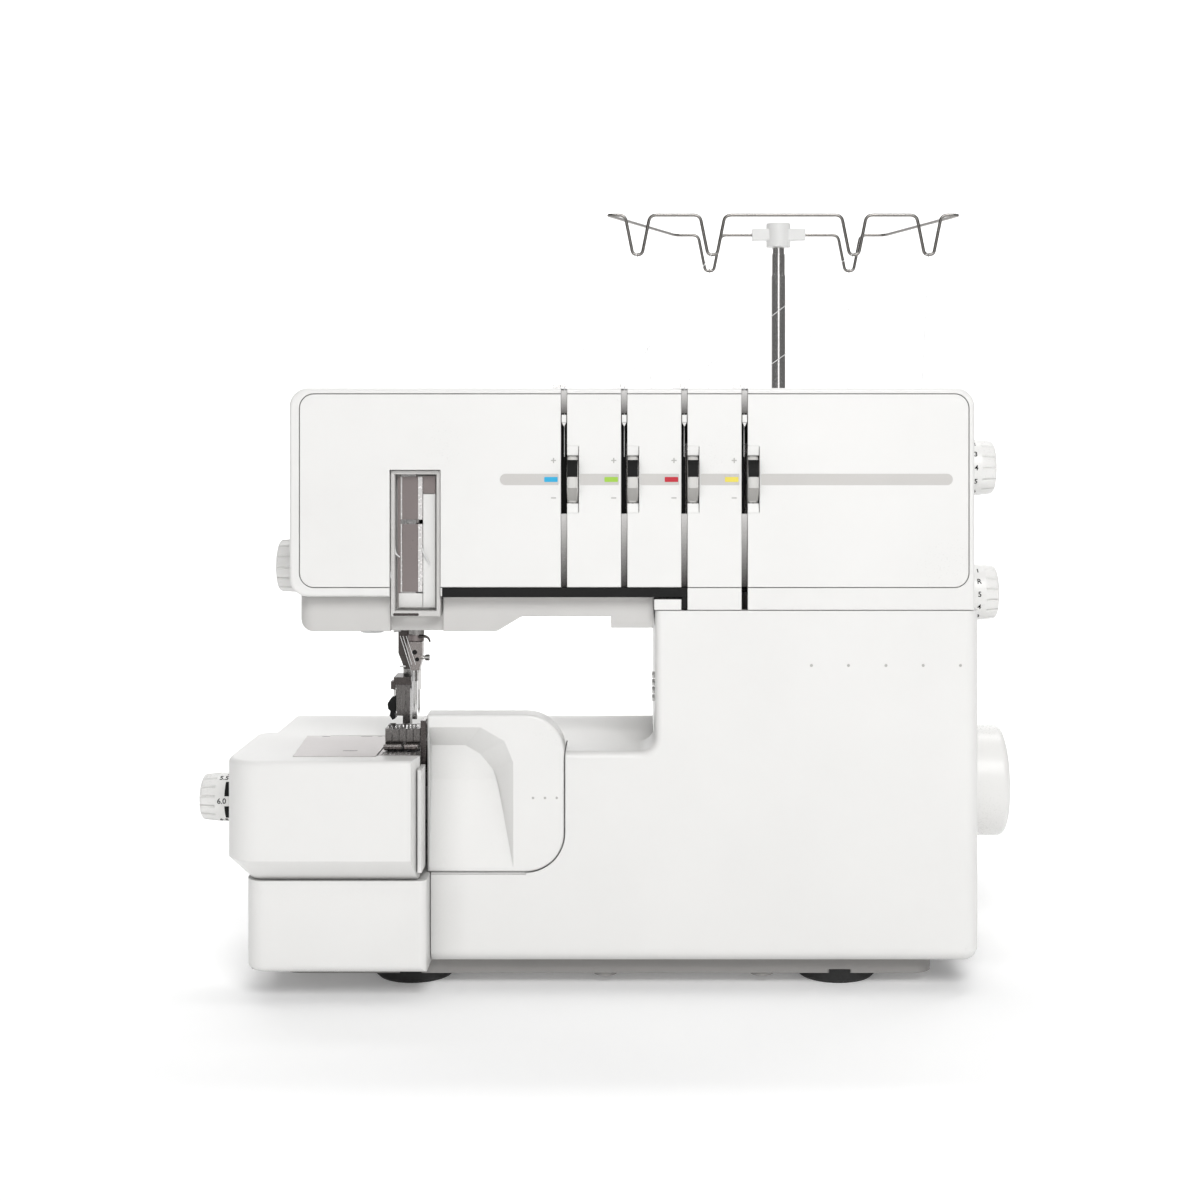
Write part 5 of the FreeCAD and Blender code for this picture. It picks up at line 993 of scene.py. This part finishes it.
def make_plate_parts():
    """Teeth and fingers on the needle plate, and the metal sheet let into the cloth plate."""
    top = high("needle_plate").z
    teeth = bmesh.new()
    for row in range(3):
        for index in range(8):
            x0 = -93.2 + index * 1.5 + 0.4 * (row % 2)
            y0 = -128.6 + row * 1.7
            tooth = placed((0, 0, top), (x0, y0, 0), (x0 + 1.0, y0, 0), (x0 + 0.5, y0 + 0.5, 0.3))
            add_prism(teeth, tooth, (0, 0.7 * MM, 0))
    piece("plate_teeth", teeth, "chrome", "machine")
    slots = bmesh.new()
    for index in range(4):
        x0 = -92.8 + index * 3.1
        add_box_at(slots, (0, 0, top), x0, x0 + 1.7, -123.4, -107.4, -0.2, 0.04)
    piece("plate_slots", slots, "dark_steel", "machine")
    sheet = bmesh.new()
    bed = (0, 0, high("cloth_plate").z)
    outline = placed(bed, (-127.2, -132.8, -0.4), (-94.5, -132.8, -0.4), (-94.5, -86.2, -0.4),
                     (-130.2, -86.2, -0.4))
    add_prism(sheet, outline, (0, 0, 0.55 * MM))
    soft_edges(sheet, 0.12 * MM)
    item = piece("bed_sheet", sheet, "plate_steel", "cloth_table")
    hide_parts("cloth_plate_insert")
    marks = bmesh.new()
    for sides in ((-123.6, -120.4, -88.6, -87.4), (-107.4, -102.6, -88.6, -87.4),
                  (-100.2, -98.4, -88.6, -87.4), (-109.4, -103.6, -121.4, -119.6)):
        add_box_at(marks, (0, 0, bed[2] + 0.15 * MM), *sides, -0.1, 0.03)
    piece("bed_sheet_slots", marks, "dark_steel", "cloth_table")


def make_knife_and_lip():
    """The upper knife's ground edge, and the thin lip on the cloth plate's right side."""
    knife = bmesh.new()
    face = low("upper_knife").y
    outline = [(-78.2, 108.3), (-78.2, 95.6), (-77.5, 91.0), (-76.8, 86.6), (-76.3, 91.0), (-76.0, 95.6),
               (-76.0, 108.3)]
    add_front_plate(knife, outline, face - 0.35 * MM, 0.3 * MM)
    piece("knife_edge", knife, "dark_steel", "knife")
    lip = bmesh.new()
    add_box(lip, *mm(-77.6, -75.95, -136.0, -124.2, 51.0, 91.4))
    soft_edges(lip, 0.4 * MM)
    piece("cloth_plate_lip", lip, "cover_white", "cloth_table")


# ------------------------------------------------------------------ camera, light and floor
CAMERA_PLACE = (0.0097, -0.8225, 0.2248)
CAMERA_LENS, CAMERA_SENSOR = 52.5, 36.0
CAMERA_SHIFT = (-0.0333, -0.1417)
WORLD_LIGHT, PAPER_GLOW = 0.20, 0.16
WORK_CENTRE = (0.0, -0.1, 0.16)
# name, place, target, size, power in watts
LIGHTS = (("key", (0.2, -1.2, 1.0), WORK_CENTRE, (0.6, 0.6), 11.0),
          ("fill", (0.1, -1.5, 0.45), WORK_CENTRE, (0.6, 0.6), 2.0),
          ("overhead", (0.0, 0.4, 1.3), (0.0, 0.4, 0.0), (1.6, 1.6), 2.5),
          ("backdrop", (0.0, 0.6, 1.8), (0.0, 2.2, 0.5), (2.4, 0.6), 44.0))
FLOOR_HALF_WIDTH, FLOOR_FRONT = 3.2, -2.6
SWEEP_START, SWEEP_RADIUS, SWEEP_TOP = 1.4, 0.8, 3.2


def make_camera():
    """The photograph's place and framing: level, straight from the front."""
    data = bpy.data.cameras.new("camera")
    data.sensor_width = CAMERA_SENSOR
    data.lens = CAMERA_LENS
    data.shift_x, data.shift_y = CAMERA_SHIFT
    item = bpy.data.objects.new("camera", data)
    item.location = CAMERA_PLACE
    item.rotation_euler = (math.radians(90), 0, 0)
    link(item)
    bpy.context.scene.camera = item


def area_light(name, place, target, size, power):
    data = bpy.data.lights.new(name, "AREA")
    data.shape = "RECTANGLE"
    data.size, data.size_y = size
    data.energy = power
    item = bpy.data.objects.new(name, data)
    item.location = place
    item.rotation_euler = (Vector(target) - Vector(place)).to_track_quat("-Z", "Y").to_euler()
    link(item)


def make_studio():
    """Pale floor that curves up behind, under large soft lights."""
    world = bpy.data.worlds.new("studio")
    world.use_nodes = True
    glow = world.node_tree.nodes["Background"].inputs
    glow["Color"].default_value = (1.0, 1.0, 1.0, 1.0)
    glow["Strength"].default_value = WORLD_LIGHT
    bpy.context.scene.world = world
    mesh = bpy.data.meshes.new("floor")
    work = bmesh.new()
    profile = [(FLOOR_FRONT, 0.0), (SWEEP_START, 0.0)]
    for angle in range(10, 91, 10):
        turn = math.radians(angle)
        profile.append((SWEEP_START + SWEEP_RADIUS * math.sin(turn),
                        SWEEP_RADIUS - SWEEP_RADIUS * math.cos(turn)))
    profile.append((SWEEP_START + SWEEP_RADIUS, SWEEP_TOP))
    rows = [[work.verts.new((x, y, z)) for x in (-FLOOR_HALF_WIDTH, FLOOR_HALF_WIDTH)] for y, z in profile]
    for first, second in zip(rows, rows[1:]):
        work.faces.new((first[0], first[1], second[1], second[0])).smooth = True
    work.to_mesh(mesh)
    floor = bpy.data.objects.new("floor", mesh)
    paper = material("floor_paper", (0.93, 0.93, 0.93), 0.65, bump=0.05, mottle=0.995, grain=300.0,
                     specular=0.1)
    shader = paper.node_tree.nodes["Principled BSDF"]
    shader.inputs["Emission Color"].default_value = (1.0, 1.0, 1.0, 1.0)
    shader.inputs["Emission Strength"].default_value = PAPER_GLOW
    mesh.materials.append(paper)
    link(floor)
    for light in LIGHTS:
        area_light(*light)
    bpy.context.scene.view_settings.view_transform = "Standard"


make_camera()
dress_nodes()
make_knobs()
make_dials()
make_panel_marks()
make_cover_dots()
make_slot_parts()
make_window_parts()
make_needle_clamp()
make_thread_plate()
make_presser_parts()
make_foot()
make_plate_parts()
make_knife_and_lip()
make_cones()
make_guide_wire()
make_threads()
make_studio()
